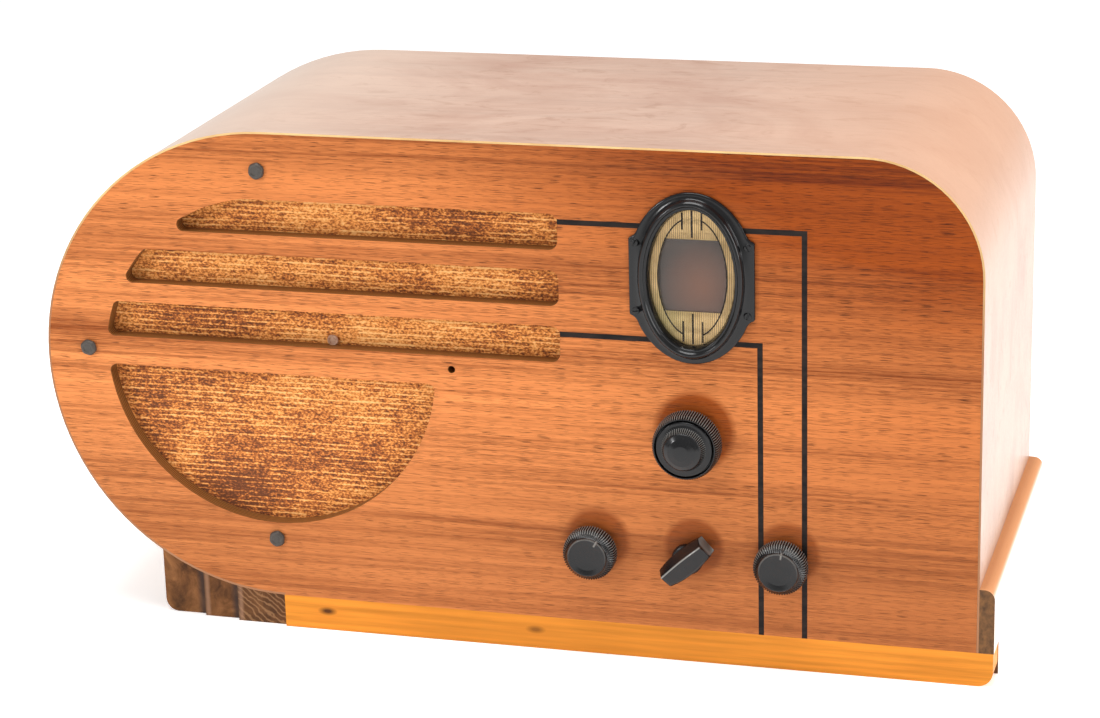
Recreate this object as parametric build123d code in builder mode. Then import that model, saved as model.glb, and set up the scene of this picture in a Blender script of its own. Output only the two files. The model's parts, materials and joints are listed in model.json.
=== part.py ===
from build123d import *
import math
import os

# A wooden tabletop radio of the nineteen-thirties with a bullet-shaped bent-wood cabinet.
# Units are millimetres.  +X runs to the right along the face, +Y runs back, +Z is up.
# The origin is the middle of the bounding box, on the surface that the radio stands on.
# Places on the face are given as (u, w): u from the cabinet's left end, w from the panel's lower edge.
# Depths are measured back from the panel's face, so a knob in front of it has a negative depth.

# ---------------------------------------------------------------- driving dimensions
body_w = 565.0
body_d = 228.0
panel_h = 288.4
rail_h = 20.5
trim_t = 8.8
knob_reach = 24.0

end_r = panel_h / 2
corner_r = 68.0
panel_t = 9.0
shell_t = 9.0
lip_t = 1.2
wood_gap = 0.05

overall_w = body_w + trim_t
overall_d = body_d + knob_reach
left = -overall_w / 2
front = knob_reach - overall_d / 2
base = rail_h
top_corner_u = body_w - corner_r
top_corner_w = panel_h - corner_r
inner_right = body_w - shell_t

# grille: three slots and a half moon in the left of the panel
slots = [(226.4, 247.8), (193.0, 214.3), (159.2, 181.0)]
slot_right = 321.7
slot_circle = (145.6, 141.0)
slot_circle_r = 107.8
slot_left_fillet = 4.0
slot_right_fillet = 5.5
moon_circle = (142.3, 150.0)
moon_circle_r = 103.3
moon_top = 141.3
moon_fillet = 4.5

# the speaker and its baffle board
speaker = (141.3, 150.9)
bolt_circle_r = 114.3
bolt_r = 2.0
bolt_hole_r = 2.2
bolt_head_r = 5.0
bolt_head_t = 3.0
cloth_t = 0.8
board_t = 8.0
board_r = 124.0
board_right = 334.0
board_low = 34.0
board_high = 264.0
cone_mouth_r = 90.0
cloth_back = panel_t + cloth_t
board_back = cloth_back + board_t

# inlay lines
inlay_w = 3.2
inlay_t = 1.0
outer_line_w = 243.2
outer_line_u = 464.3
inner_line_w = 176.5
inner_line_u = 438.8

# dial window
dial = (400.0, 214.0)
flange_oval = (37.6, 50.2)
ear_half_w = 36.3
ear_half_h = 22.6
ear_round = 2.5
flange_t = 2.2
ring_oval = (30.6, 46.0)
ring_t = 4.6
ring_bevel = 1.8
sight_oval = (24.4, 39.6)
lens_oval = (25.3, 40.8)
spigot_oval = (26.8, 42.3)
spigot_t = 3.0
rabbet_oval = (25.5, 41.0)
panel_dial_oval = (27.0, 42.5)
lens_t = 0.8
mask_t = 0.5
window_oval = (19.5, 34.5)
window_h = 42.5
window_w = 215.2
dial_screw = (32.4, 20.0)
dial_screw_r = 2.1

# tuning train: gang condenser above, twin tuning shafts below
train_u = 397.6
gang_w = 181.9
tuning_w = 116.9
module = 1.0
gear_teeth = 104
pinion_teeth = 26
gear_depth = 38.0
gear_t = 2.5
disc_r = 58.0
disc_depth = 12.0
disc_t = 0.8
gang_shaft_r = 4.75
gang_front = 50.0
gang_back = 130.0
gang_half_w = 36.0
gang_low = 146.0
gang_high = 222.0
running = 0.05

sleeve_r = 5.0
spindle_r = 3.0
race_neck_r = 2.4
race_r = 9.6
ball_r = 3.55
ball_orbit_r = 6.0
ball_count = 3
ball_depth = 54.0
fast_knob_r = 20.0
slow_knob_r = 16.5

# small controls along the lower edge
control_w = 45.6
volume_u = 338.4
band_u = 396.3
tone_u = 451.6
small_knob_r = 15.9
knob_back = -3.0
bushing_r = 4.7
control_can_r = 15.0
volume_angle = -31.0
tone_angle = -10.0
band_angle = 42.0

# chassis
chassis_left = 268.0
chassis_right = 548.0
chassis_front = 45.0
chassis_rear = 212.0
chassis_low = 16.0
chassis_top = 72.0
sheet_t = 1.2
floor_t = 12.0
lip_w = 14.0
chassis_bolt_r = 2.5
chassis_bolts_at = [
    (chassis_left + 7.5, 66.0),
    (chassis_left + 7.5, 190.0),
    (chassis_right - 7.5, 66.0),
    (chassis_right - 7.5, 190.0),
]
tubes = [
    (338.0, 178.0, 21.0),
    (390.0, 178.0, 21.0),
    (442.0, 178.0, 18.5),
    (492.0, 180.0, 18.5),
    (492.0, 72.0, 18.5),
]
coil_cans = [(492.0, 126.0), (529.0, 152.0)]
filter_cans = [(292.0, 156.0), (292.0, 192.0)]
grommet_u = 312.0
grommet_w = 44.0
grommet_hole_r = 7.0
socket_hole_r = 13.0
cushion_r = 6.5


# ---------------------------------------------------------------- planes and shared shapes
def behind(depth):
    """Plane parallel to the face, depth behind it; its x runs right and its y runs up."""
    return Plane(origin=(left, front + depth, base), x_dir=(1, 0, 0), z_dir=(0, -1, 0))


def level(height):
    """Horizontal plane, height above the panel's lower edge; its x runs right and its y runs back."""
    return Plane(origin=(left, front, base + height))


def along(u, w):
    """Plane through the front-to-back line at (u, w); its x runs back from the face and its y runs up."""
    return Plane(origin=(left + u, front, base + w), x_dir=(0, 1, 0), z_dir=(1, 0, 0))


def turned_face(u, w, depth, angle):
    """Plane parallel to the face at (u, w), depth behind it, turned anticlockwise by the angle in degrees."""
    across = (math.cos(math.radians(angle)), 0, math.sin(math.radians(angle)))
    return Plane(origin=(left + u, front + depth, base + w), x_dir=across, z_dir=(0, -1, 0))


def upright(u, depth):
    """Plane through the upright line at (u, depth); its x runs right and its y runs up."""
    return Plane(origin=(left + u, front + depth, base), x_dir=(1, 0, 0), z_dir=(0, -1, 0))


def turn(u, w, outline, mode=Mode.ADD):
    """Turn a closed outline of (depth, radius) points round the front-to-back line at (u, w)."""
    with BuildSketch(along(u, w)) as section:
        with BuildLine():
            Polyline(*outline, close=True)
        make_face()
    revolve(section.sketch, axis=Axis((left + u, front, base + w), (0, 1, 0)), mode=mode)


def turn_upright(u, depth, outline, mode=Mode.ADD):
    """Turn a closed outline of (radius, height) points round the upright line at (u, depth)."""
    with BuildSketch(upright(u, depth)) as section:
        with BuildLine():
            Polyline(*outline, close=True)
        make_face()
    revolve(section.sketch, axis=Axis((left + u, front + depth, base), (0, 0, 1)), mode=mode)


def block(u_range, depth_range, w_range, mode=Mode.ADD):
    """Square-edged block given by its ranges across, back and up."""
    with BuildSketch(level(w_range[0])) as plan:
        with Locations((sum(u_range) / 2, sum(depth_range) / 2)):
            Rectangle(u_range[1] - u_range[0], depth_range[1] - depth_range[0])
    extrude(plan.sketch, amount=w_range[1] - w_range[0], mode=mode)


def bullet(inset, foot):
    """Face of the cabinet, inset from its outline: half-round left end, one round corner at the top right."""
    right = body_w - inset
    top = panel_h - inset
    with BuildSketch(Plane.XY) as face:
        with BuildLine():
            Line((end_r, foot), (right, foot))
            Line((right, foot), (right, top_corner_w))
            CenterArc((top_corner_u, top_corner_w), corner_r - inset, 0, 90)
            Line((top_corner_u, top), (end_r, top))
            CenterArc((end_r, end_r), end_r - inset, 90, 180)
            if inset != foot:
                Line((end_r, inset), (end_r, foot))
        make_face()
    return face.sketch


def gear_face(teeth, turned):
    """Face of a spur gear with straight-flanked teeth; one tooth points at the angle turned, in degrees."""
    pitch_r = module * teeth / 2
    pitch = 360 / teeth
    flank = [(pitch_r - 1.2 * module, 0.33), (pitch_r, 0.225), (pitch_r + 0.85 * module, 0.11)]
    points = []
    for tooth in range(teeth):
        middle = turned + tooth * pitch
        for radius, half in flank:
            angle = math.radians(middle - half * pitch)
            points.append((radius * math.cos(angle), radius * math.sin(angle)))
        for radius, half in reversed(flank):
            angle = math.radians(middle + half * pitch)
            points.append((radius * math.cos(angle), radius * math.sin(angle)))
    with BuildSketch(Plane.XY) as face:
        with BuildLine():
            Polyline(*points, close=True)
        make_face()
    return face.sketch


def grille_opening(low, high, circle, circle_r, right, left_fillet, right_fillet):
    """Opening whose left end follows a circle and whose right end is square, with rounded corners."""
    with BuildSketch(Plane.XY) as opening:
        with Locations(circle):
            Circle(circle_r)
        with Locations((circle[0] + (right - circle[0]) / 2, (low + high) / 2)):
            Rectangle(right - circle[0], high - low)
        with Locations((right - circle_r * 1.5, (low + high) / 2)):
            Rectangle(circle_r * 3, high - low, mode=Mode.INTERSECT)
        fillet(opening.vertices().group_by(Axis.X)[-1], right_fillet)
        fillet(opening.vertices().filter_by(lambda v: v.X < circle[0] - left_fillet), left_fillet)
    return opening.sketch


# ---------------------------------------------------------------- cabinet
with BuildPart() as front_panel:
    with BuildSketch(behind(0)):
        add(bullet(lip_t + wood_gap, 0))
        for low, high in slots:
            add(
                grille_opening(
                    low, high, slot_circle, slot_circle_r, slot_right, slot_left_fillet, slot_right_fillet
                ),
                mode=Mode.SUBTRACT,
            )
        with BuildSketch(mode=Mode.SUBTRACT) as moon:
            with Locations(moon_circle):
                Circle(moon_circle_r)
            with Locations((moon_circle[0], moon_top - moon_circle_r)):
                Rectangle(moon_circle_r * 2.2, moon_circle_r * 2, mode=Mode.INTERSECT)
            fillet(moon.vertices(), moon_fillet)
        with Locations(speaker):
            with PolarLocations(bolt_circle_r, 4):
                Circle(bolt_hole_r, mode=Mode.SUBTRACT)
        with Locations(dial):
            Ellipse(*panel_dial_oval, mode=Mode.SUBTRACT)
        with Locations((train_u, tuning_w)):
            Circle(sleeve_r + 1.5, mode=Mode.SUBTRACT)
        with Locations((volume_u, control_w), (band_u, control_w), (tone_u, control_w)):
            Circle(bushing_r + 0.6, mode=Mode.SUBTRACT)
    extrude(amount=-panel_t)
    with BuildSketch(behind(0)):
        with Locations(((slot_right + outer_line_u) / 2, outer_line_w)):
            Rectangle(outer_line_u - slot_right + inlay_w, inlay_w)
        with Locations((outer_line_u, outer_line_w / 2)):
            Rectangle(inlay_w, outer_line_w)
        with Locations(((slot_right + inner_line_u) / 2, inner_line_w)):
            Rectangle(inner_line_u - slot_right + inlay_w, inlay_w)
        with Locations((inner_line_u, inner_line_w / 2)):
            Rectangle(inlay_w, inner_line_w)
    extrude(amount=-inlay_t, mode=Mode.SUBTRACT)


def inlay_line(line_u, line_w):
    """Solid strip of one inlay line: from a slot's end to line_u at height line_w, then down to the rail."""
    with BuildSketch(behind(0)) as strip:
        with Locations(((slot_right + line_u) / 2, line_w)):
            Rectangle(line_u - slot_right + inlay_w, inlay_w)
        with Locations((line_u, line_w / 2)):
            Rectangle(inlay_w, line_w)
        with Locations((slot_right - inlay_w / 2, line_w)):
            Rectangle(inlay_w, inlay_w * 2, mode=Mode.SUBTRACT)
        with Locations(dial):
            Ellipse(*panel_dial_oval, mode=Mode.SUBTRACT)
    extrude(strip.sketch, amount=-inlay_t)


with BuildPart() as inlay_outer:
    inlay_line(outer_line_u, outer_line_w)

with BuildPart() as inlay_inner:
    inlay_line(inner_line_u, inner_line_w)

with BuildPart() as cabinet_shell:
    with BuildSketch(behind(0)):
        add(bullet(0, 0))
        add(bullet(lip_t, 0), mode=Mode.SUBTRACT)
    extrude(amount=-panel_t)
    with BuildSketch(behind(panel_t)):
        add(bullet(0, 0))
        add(bullet(shell_t, 0), mode=Mode.SUBTRACT)
    extrude(amount=panel_t - body_d)

with BuildPart() as bottom_board:
    block((end_r, inner_right - wood_gap), (panel_t, body_d), (0, floor_t))
    with BuildSketch(level(0)):
        with Locations(*chassis_bolts_at):
            Circle(chassis_bolt_r + 0.2)
    extrude(amount=floor_t, mode=Mode.SUBTRACT)

rail_d = 20.0
rail_left = 143.7
rail_right = 573.4
rail_round = 9.0
with BuildPart() as front_rail:
    block((rail_left, rail_right), (0, rail_d), (-rail_h, 0))
    lower_right = front_rail.edges().filter_by(Axis.Y).group_by(Axis.X)[-1].sort_by(Axis.Z)[0]
    fillet(lower_right, rail_round)

with BuildPart() as rear_rail:
    block((rail_left, body_w), (body_d - rail_d, body_d), (-rail_h, 0))

trim_top = 39.0
trim_round = 6.0
with BuildPart() as right_side_trim:
    block((body_w, body_w + trim_t), (0, body_d), (-rail_h, trim_top))
    block((body_w, body_w + trim_t), (0, rail_d), (-rail_h, 0), mode=Mode.SUBTRACT)
    top_outer = right_side_trim.edges().filter_by(Axis.Y).group_by(Axis.Z)[-1].sort_by(Axis.X)[-1]
    fillet(top_outer, trim_round)

foot_back = 220.0
foot_round = 8.0
foot_edges = [(62.0, 89.0, 8.4), (89.0, 112.0, 5.5), (112.0, rail_left, 2.5)]


def foot_block(u_low, u_high, face_depth):
    """Solid stick under the round end: flat below, hollowed above to fit the cabinet's curve."""
    with BuildSketch(behind(face_depth)) as end:
        with Locations(((u_low + u_high) / 2, end_r / 2 - rail_h)):
            Rectangle(u_high - u_low, end_r)
        with Locations((end_r, end_r)):
            Circle(end_r + wood_gap, mode=Mode.SUBTRACT)
        with Locations((end_r, end_r * 1.5)):
            Rectangle(end_r * 2, end_r, mode=Mode.SUBTRACT)
    extrude(end.sketch, amount=face_depth - foot_back)


with BuildPart() as left_foot_outer:
    foot_block(*foot_edges[0])
    low_corner = left_foot_outer.edges().filter_by(Axis.Y).group_by(Axis.X)[0].sort_by(Axis.Z)[0]
    fillet(low_corner, foot_round)

with BuildPart() as left_foot_middle:
    foot_block(*foot_edges[1])

with BuildPart() as left_foot_inner:
    foot_block(*foot_edges[2])

glue_leg = 18.0
glue_half = 25.0
glue_under_top = [363.0, 452.0]
glue_on_floor = [370.0, 490.0]
with BuildPart() as glue_blocks:
    for u in glue_under_top:
        with BuildSketch(along(u, panel_h - shell_t).offset(-glue_half)):
            with BuildLine():
                Polyline((panel_t, 0), (panel_t + glue_leg, 0), (panel_t, -glue_leg), close=True)
            make_face()
        extrude(amount=2 * glue_half)
    for u in glue_on_floor:
        with BuildSketch(along(u, floor_t).offset(-glue_half)):
            with BuildLine():
                Polyline((panel_t, 0), (panel_t + glue_leg, 0), (panel_t, glue_leg), close=True)
            make_face()
        extrude(amount=2 * glue_half)

# ---------------------------------------------------------------- grille cloth and baffle
with BuildPart() as grille_cloth:
    with BuildSketch(behind(panel_t)):
        with Locations(speaker):
            Circle(board_r - 3)
        with Locations(((speaker[0] + board_right) / 2, (board_low + board_high) / 2)):
            Rectangle(board_right - speaker[0] - 4, board_high - board_low - 4)
        with Locations(speaker):
            with PolarLocations(bolt_circle_r, 4):
                Circle(bolt_hole_r, mode=Mode.SUBTRACT)
    extrude(amount=-cloth_t)

with BuildPart() as speaker_baffle_board:
    with BuildSketch(behind(cloth_back)):
        with Locations(speaker):
            Circle(board_r)
        with Locations(((speaker[0] + board_right) / 2, (board_low + board_high) / 2)):
            Rectangle(board_right - speaker[0], board_high - board_low)
        with Locations(speaker):
            Circle(cone_mouth_r, mode=Mode.SUBTRACT)
            with PolarLocations(bolt_circle_r, 4):
                Circle(bolt_hole_r, mode=Mode.SUBTRACT)
    extrude(amount=-board_t)

nut_t = 3.5
nut_r = 4.6
with BuildPart() as baffle_bolts:
    with BuildSketch(behind(-bolt_head_t)):
        with Locations(speaker):
            with PolarLocations(bolt_circle_r, 3, 90, 270):
                Circle(bolt_head_r)
    extrude(amount=-bolt_head_t)
    head_rims = baffle_bolts.edges().filter_by(GeomType.CIRCLE).group_by(Axis.Y)[0]
    fillet(head_rims, bolt_head_t * 0.4)
    with BuildSketch(behind(0)):
        with Locations(speaker):
            with PolarLocations(bolt_circle_r, 3, 90, 270):
                Circle(bolt_r)
    extrude(amount=-(board_back + nut_t + 1.5))
    with BuildSketch(behind(board_back)):
        with Locations(speaker):
            with PolarLocations(bolt_circle_r, 3, 90, 270):
                RegularPolygon(nut_r, 6)
    extrude(amount=-nut_t)

# ---------------------------------------------------------------- dial window
with BuildPart() as escutcheon:
    with BuildSketch(behind(0)):
        with Locations(dial):
            Ellipse(*flange_oval)
            Rectangle(2 * ear_half_w, 2 * flange_oval[1], mode=Mode.INTERSECT)
            RectangleRounded(2 * ear_half_w, 2 * ear_half_h, ear_round)
    extrude(amount=flange_t)
    with BuildSketch(behind(-flange_t)):
        with Locations(dial):
            Ellipse(*ring_oval)
    extrude(amount=ring_t)
    crest = escutcheon.faces().sort_by(Axis.Y)[0].edges()
    chamfer(crest, ring_bevel)
    with BuildSketch(behind(0)):
        with Locations(dial):
            Ellipse(*spigot_oval)
    extrude(amount=-spigot_t)
    with BuildSketch(behind(-flange_t - ring_t)):
        with Locations(dial):
            Ellipse(*sight_oval)
    extrude(amount=-(flange_t + ring_t + spigot_t), mode=Mode.SUBTRACT)
    with BuildSketch(behind(0)):
        with Locations(dial):
            Ellipse(*rabbet_oval)
    extrude(amount=-spigot_t, mode=Mode.SUBTRACT)

with BuildPart() as escutcheon_screws:
    with BuildSketch(behind(-flange_t)):
        with Locations(dial):
            with GridLocations(2 * dial_screw[0], 2 * dial_screw[1], 2, 2):
                Circle(dial_screw_r)
    extrude(amount=0.8)

with BuildPart() as dial_glass:
    with BuildSketch(behind(0)):
        with Locations(dial):
            Ellipse(*lens_oval)
    extrude(amount=-lens_t)

with BuildPart() as dial_mask:
    with BuildSketch(behind(lens_t)):
        with Locations(dial):
            Ellipse(*lens_oval)
        with BuildSketch(mode=Mode.SUBTRACT):
            with Locations(dial):
                Ellipse(*window_oval)
            with Locations((dial[0], window_w)):
                Rectangle(2 * window_oval[0] + 2, window_h, mode=Mode.INTERSECT)
    extrude(amount=-mask_t)

lamp_depth = 25.0
lamp_top = 236.0
lamp_holder_r = 5.5
bracket_top = 272.0
bracket_half_w = 7.0
bracket_t = 1.2
arm_w = 248.0
with BuildPart() as lamp_bracket:
    bracket_across = (dial[0] - bracket_half_w, dial[0] + bracket_half_w)
    block(bracket_across, (panel_t, panel_t + bracket_t), (arm_w, bracket_top))
    block(bracket_across, (panel_t, lamp_depth + bracket_half_w), (arm_w, arm_w + bracket_t))
    turn_upright(
        dial[0], lamp_depth, [(0, arm_w), (lamp_holder_r, arm_w), (lamp_holder_r, lamp_top), (0, lamp_top)]
    )

with BuildPart() as dial_lamp:
    turn_upright(
        dial[0],
        lamp_depth,
        [(0, lamp_top), (4.0, lamp_top), (4.0, 231), (5.2, 226), (5.2, 220), (3.6, 216), (0, 214.5)],
    )

# ---------------------------------------------------------------- gang condenser and dial disc
hub_r = 9.0
hub_l = 6.0
lightening_r = 9.0
lightening_orbit_r = 30.0
lightening_count = 5
with BuildPart() as dial_disc:
    turn(
        train_u,
        gang_w,
        [
            (disc_depth, gang_shaft_r + running),
            (disc_depth, disc_r),
            (disc_depth + disc_t, disc_r),
            (disc_depth + disc_t, hub_r),
            (disc_depth + hub_l, hub_r),
            (disc_depth + hub_l, gang_shaft_r + running),
        ],
    )

with BuildPart() as drive_gear:
    with BuildSketch(behind(gear_depth)):
        add(gear_face(gear_teeth, -90).moved(Location((train_u, gang_w, 0))))
        with Locations((train_u, gang_w)):
            Circle(gang_shaft_r + running, mode=Mode.SUBTRACT)
            with PolarLocations(lightening_orbit_r, lightening_count):
                Circle(lightening_r, mode=Mode.SUBTRACT)
    extrude(amount=-gear_t)
    turn(
        train_u,
        gang_w,
        [
            (gear_depth + gear_t, gang_shaft_r + running),
            (gear_depth + gear_t, hub_r),
            (gang_front - 2, hub_r),
            (gang_front - 2, gang_shaft_r + running),
        ],
    )

plate_r = 26.0
plate_t = 0.6
plate_pitch = 3.2
section_starts = [56.0, 81.0, 106.0]
plates_in_section = 6
stator_w = 60.0
stator_h = 32.0
stator_strip = 28.6
stator_strip_t = 1.6
stator_strip_low = 26.0
stator_strip_high = 14.0
with BuildPart() as gang_rotor:
    with BuildSketch(behind(disc_depth - 1)):
        with Locations((train_u, gang_w)):
            Circle(gang_shaft_r)
    extrude(amount=disc_depth - 1 - gang_back - 2)
    for start in section_starts:
        for plate in range(plates_in_section):
            with BuildSketch(behind(start + plate * plate_pitch)):
                with Locations((train_u, gang_w)):
                    Circle(plate_r)
                with Locations((train_u - plate_r, gang_w)):
                    Rectangle(2 * plate_r, 3 * plate_r, mode=Mode.SUBTRACT)
            extrude(amount=-plate_t)

with BuildPart() as gang_stators:
    for start in section_starts:
        for plate in range(plates_in_section - 1):
            with BuildSketch(behind(start + (plate + 0.5) * plate_pitch)):
                with Locations((train_u, gang_w - stator_h / 2)):
                    Rectangle(stator_w, stator_h)
                with Locations((train_u, gang_w)):
                    Circle(gang_shaft_r + 3, mode=Mode.SUBTRACT)
            extrude(amount=-plate_t)
        for side in (-stator_strip, stator_strip):
            block(
                (train_u + side - stator_strip_t / 2, train_u + side + stator_strip_t / 2),
                (start, start + (plates_in_section - 1) * plate_pitch),
                (gang_w - stator_strip_low, gang_w - stator_strip_high),
            )

wall_t = 1.5
wall_round = 6.0
bed_half_w = 30.0
tie_r = 2.5
tie_out = 32.5
tie_drop = 8.0
with BuildPart() as gang_frame:
    for depth in (gang_front, gang_back - wall_t):
        with BuildSketch(behind(depth)):
            with Locations((train_u, (gang_low + gang_high) / 2)):
                RectangleRounded(2 * gang_half_w, gang_high - gang_low, wall_round)
            with Locations((train_u, gang_w)):
                Circle(gang_shaft_r + running, mode=Mode.SUBTRACT)
        extrude(amount=-wall_t)
    block(
        (train_u - bed_half_w, train_u + bed_half_w), (gang_front, gang_back), (gang_low, gang_low + wall_t)
    )
    for side in (-tie_out, tie_out):
        with BuildSketch(behind(gang_front)):
            with Locations((train_u + side, gang_high - tie_drop)):
                Circle(tie_r)
        extrude(amount=gang_front - gang_back)

stand_front = 46.0
stand_back = 134.0
stand_half_w = 42.0
stand_t = 1.5
stand_lip = 10.0
barrel_r = 12.0
with BuildPart() as gang_stand:
    block(
        (train_u - stand_half_w, train_u + stand_half_w),
        (stand_front, stand_back),
        (gang_low - stand_t, gang_low),
    )
    block(
        (train_u - stand_half_w, train_u + stand_half_w),
        (stand_front, stand_front + stand_t),
        (chassis_top, gang_low),
    )
    for side in (-1, 1):
        outer = train_u + side * stand_half_w
        inner = outer - side * stand_t
        block((min(outer, inner), max(outer, inner)), (stand_front, stand_back), (chassis_top, gang_low))
        lip = outer + side * stand_lip
        block(
            (min(outer, lip), max(outer, lip)), (stand_front, stand_back), (chassis_top, chassis_top + stand_t)
        )
    with BuildSketch(behind(stand_front)):
        with Locations((train_u, tuning_w)):
            Circle(barrel_r + 0.1)
    extrude(amount=-stand_t, mode=Mode.SUBTRACT)

# ---------------------------------------------------------------- twin tuning shafts
fast_front = -15.5
sleeve_front = -12.0
slow_back = -12.5
slow_step = -15.9
spindle_front = -21.0
knob_gap = 0.8
tail_r = spindle_r - 0.6
flange_r = barrel_r + 5.0
housing_front = stand_front
housing_back = 62.0
pocket_r = ball_r + 0.15
carrier_r = race_r - 0.6
carrier_front = housing_front + 2.2
finger_front = ball_depth - 4.0
finger_back = ball_depth + 1.4
with BuildPart() as tuning_sleeve:
    turn(
        train_u,
        tuning_w,
        [
            (sleeve_front, 0),
            (sleeve_front, sleeve_r),
            (carrier_front, sleeve_r),
            (carrier_front, carrier_r),
            (finger_back, carrier_r),
            (finger_back, 0),
        ],
    )
    with BuildSketch(behind(gear_depth)):
        add(gear_face(pinion_teeth, 90 + 180 / pinion_teeth).moved(Location((train_u, tuning_w, 0))))
    extrude(amount=-gear_t - 0.5)
    with BuildSketch(behind(finger_front)):
        with Locations((train_u, tuning_w)):
            with PolarLocations(ball_orbit_r, ball_count):
                Circle(pocket_r)
    extrude(amount=finger_front - finger_back, mode=Mode.SUBTRACT)
    with BuildSketch(behind(sleeve_front)):
        with Locations((train_u, tuning_w)):
            Circle(spindle_r + running)
    extrude(amount=sleeve_front - finger_back, mode=Mode.SUBTRACT)

with BuildPart() as drive_balls:
    for spot in PolarLocations(ball_orbit_r, ball_count):
        with BuildSketch(along(train_u + spot.position.X, tuning_w + spot.position.Y)) as half:
            with BuildLine():
                Line((ball_depth - ball_r, 0), (ball_depth + ball_r, 0))
                CenterArc((ball_depth, 0), ball_r, 0, 180)
            make_face()
        line = Axis(along(train_u + spot.position.X, tuning_w + spot.position.Y).origin, (0, 1, 0))
        revolve(axis=line)

with BuildPart() as tuning_spindle:
    turn(
        train_u,
        tuning_w,
        [
            (spindle_front, 0),
            (spindle_front, spindle_r),
            (ball_depth - 2.2, spindle_r),
            (ball_depth - 1.6, race_neck_r),
            (ball_depth + 1.6, race_neck_r),
            (ball_depth + 2.2, tail_r),
            (housing_back + 2, tail_r),
            (housing_back + 2, 0),
        ],
    )

with BuildPart() as ball_drive_housing:
    turn(
        train_u,
        tuning_w,
        [
            (housing_front, sleeve_r + running),
            (housing_front, barrel_r),
            (housing_front + stand_t, barrel_r),
            (housing_front + stand_t, flange_r),
            (housing_front + stand_t + 1.5, flange_r),
            (housing_front + stand_t + 1.5, barrel_r),
            (housing_back, barrel_r),
            (housing_back, tail_r + running),
            (housing_back - 1.5, tail_r + running),
            (housing_back - 1.5, race_r),
            (housing_front + 1.8, race_r),
            (housing_front + 1.8, sleeve_r + running),
        ],
    )

with BuildPart() as fast_tuning_knob:
    turn(
        train_u,
        tuning_w,
        [
            (knob_back, sleeve_r + running),
            (knob_back, fast_knob_r - 0.6),
            (knob_back - 1.0, fast_knob_r),
            (fast_front + 1.9, fast_knob_r - 0.5),
            (fast_front, fast_knob_r - 1.6),
            (fast_front, slow_knob_r + knob_gap),
            (sleeve_front, slow_knob_r + knob_gap),
            (sleeve_front, sleeve_r + running),
        ],
    )

with BuildPart() as slow_tuning_knob:
    turn(
        train_u,
        tuning_w,
        [
            (slow_back, spindle_r + running),
            (slow_back, slow_knob_r - 0.3),
            (slow_back - 1.5, slow_knob_r),
            (slow_step + 0.3, slow_knob_r - 1.0),
            (slow_step, 12.9),
            (slow_step - 3.7, 12.3),
            (slow_step - 4.4, 10.9),
            (-knob_reach + 1.4, 9.0),
            (-knob_reach + 0.4, 5.6),
            (-knob_reach, 0),
            (spindle_front - 0.2, 0),
            (spindle_front - 0.2, spindle_r + running),
        ],
    )

# ---------------------------------------------------------------- volume, tone and band controls
knob_front = -12.6
disc_front = -15.0
disc_edge_r = 11.3
pointer_l = 6.0
pointer_w = 1.6
shaft_back = 57.5
wiper_depth = 50.5
wiper_r = 10.5
wiper_t = 2.5
bushing_front = 36.0
can_front = chassis_front + sheet_t + 0.1
can_back = 60.0
can_wall_t = 1.4


def small_knob(u, pointer_angle):
    """Round control knob with a raised disc and a pointer notch at its rim; bored for its shaft."""
    turn(
        u,
        control_w,
        [
            (knob_back, spindle_r + running),
            (knob_back, small_knob_r - 0.5),
            (knob_back - 1, small_knob_r),
            (knob_front + 2.4, small_knob_r - 0.3),
            (knob_front, small_knob_r - 2.6),
            (disc_front, disc_edge_r),
            (disc_front + 0.5, 0),
            (knob_front + 0.5, 0),
            (knob_front + 0.5, spindle_r + running),
        ],
    )
    with BuildSketch(behind(disc_front - 1)) as notch:
        with Locations(Location((u, control_w, 0), pointer_angle)):
            with Locations((0, small_knob_r - pointer_l / 2)):
                Rectangle(pointer_w, pointer_l)
    extrude(notch.sketch, amount=disc_front - knob_front - 1, mode=Mode.SUBTRACT)


def control_shaft(u):
    """Shaft of a rotary control with its wiper disc inside the can."""
    turn(
        u,
        control_w,
        [
            (knob_front + 0.7, 0),
            (knob_front + 0.7, spindle_r),
            (wiper_depth, spindle_r),
            (wiper_depth, wiper_r),
            (wiper_depth + wiper_t, wiper_r),
            (wiper_depth + wiper_t, spindle_r),
            (shaft_back, spindle_r),
            (shaft_back, 0),
        ],
    )


def control_can(u):
    """Body of a rotary control: a threaded bushing through the chassis front and a hollow can behind it."""
    turn(
        u,
        control_w,
        [
            (bushing_front, spindle_r + running),
            (bushing_front, bushing_r),
            (can_front, bushing_r),
            (can_front, control_can_r),
            (can_back, control_can_r),
            (can_back, 0),
            (can_back - can_wall_t, 0),
            (can_back - can_wall_t, control_can_r - can_wall_t),
            (can_front + can_wall_t, control_can_r - can_wall_t),
            (can_front + can_wall_t, spindle_r + running),
        ],
    )


with BuildPart() as volume_knob:
    small_knob(volume_u, volume_angle)

with BuildPart() as tone_knob:
    small_knob(tone_u, tone_angle)

with BuildPart() as volume_shaft:
    control_shaft(volume_u)

with BuildPart() as tone_shaft:
    control_shaft(tone_u)

with BuildPart() as volume_control:
    control_can(volume_u)

with BuildPart() as tone_control:
    control_can(tone_u)

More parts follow.
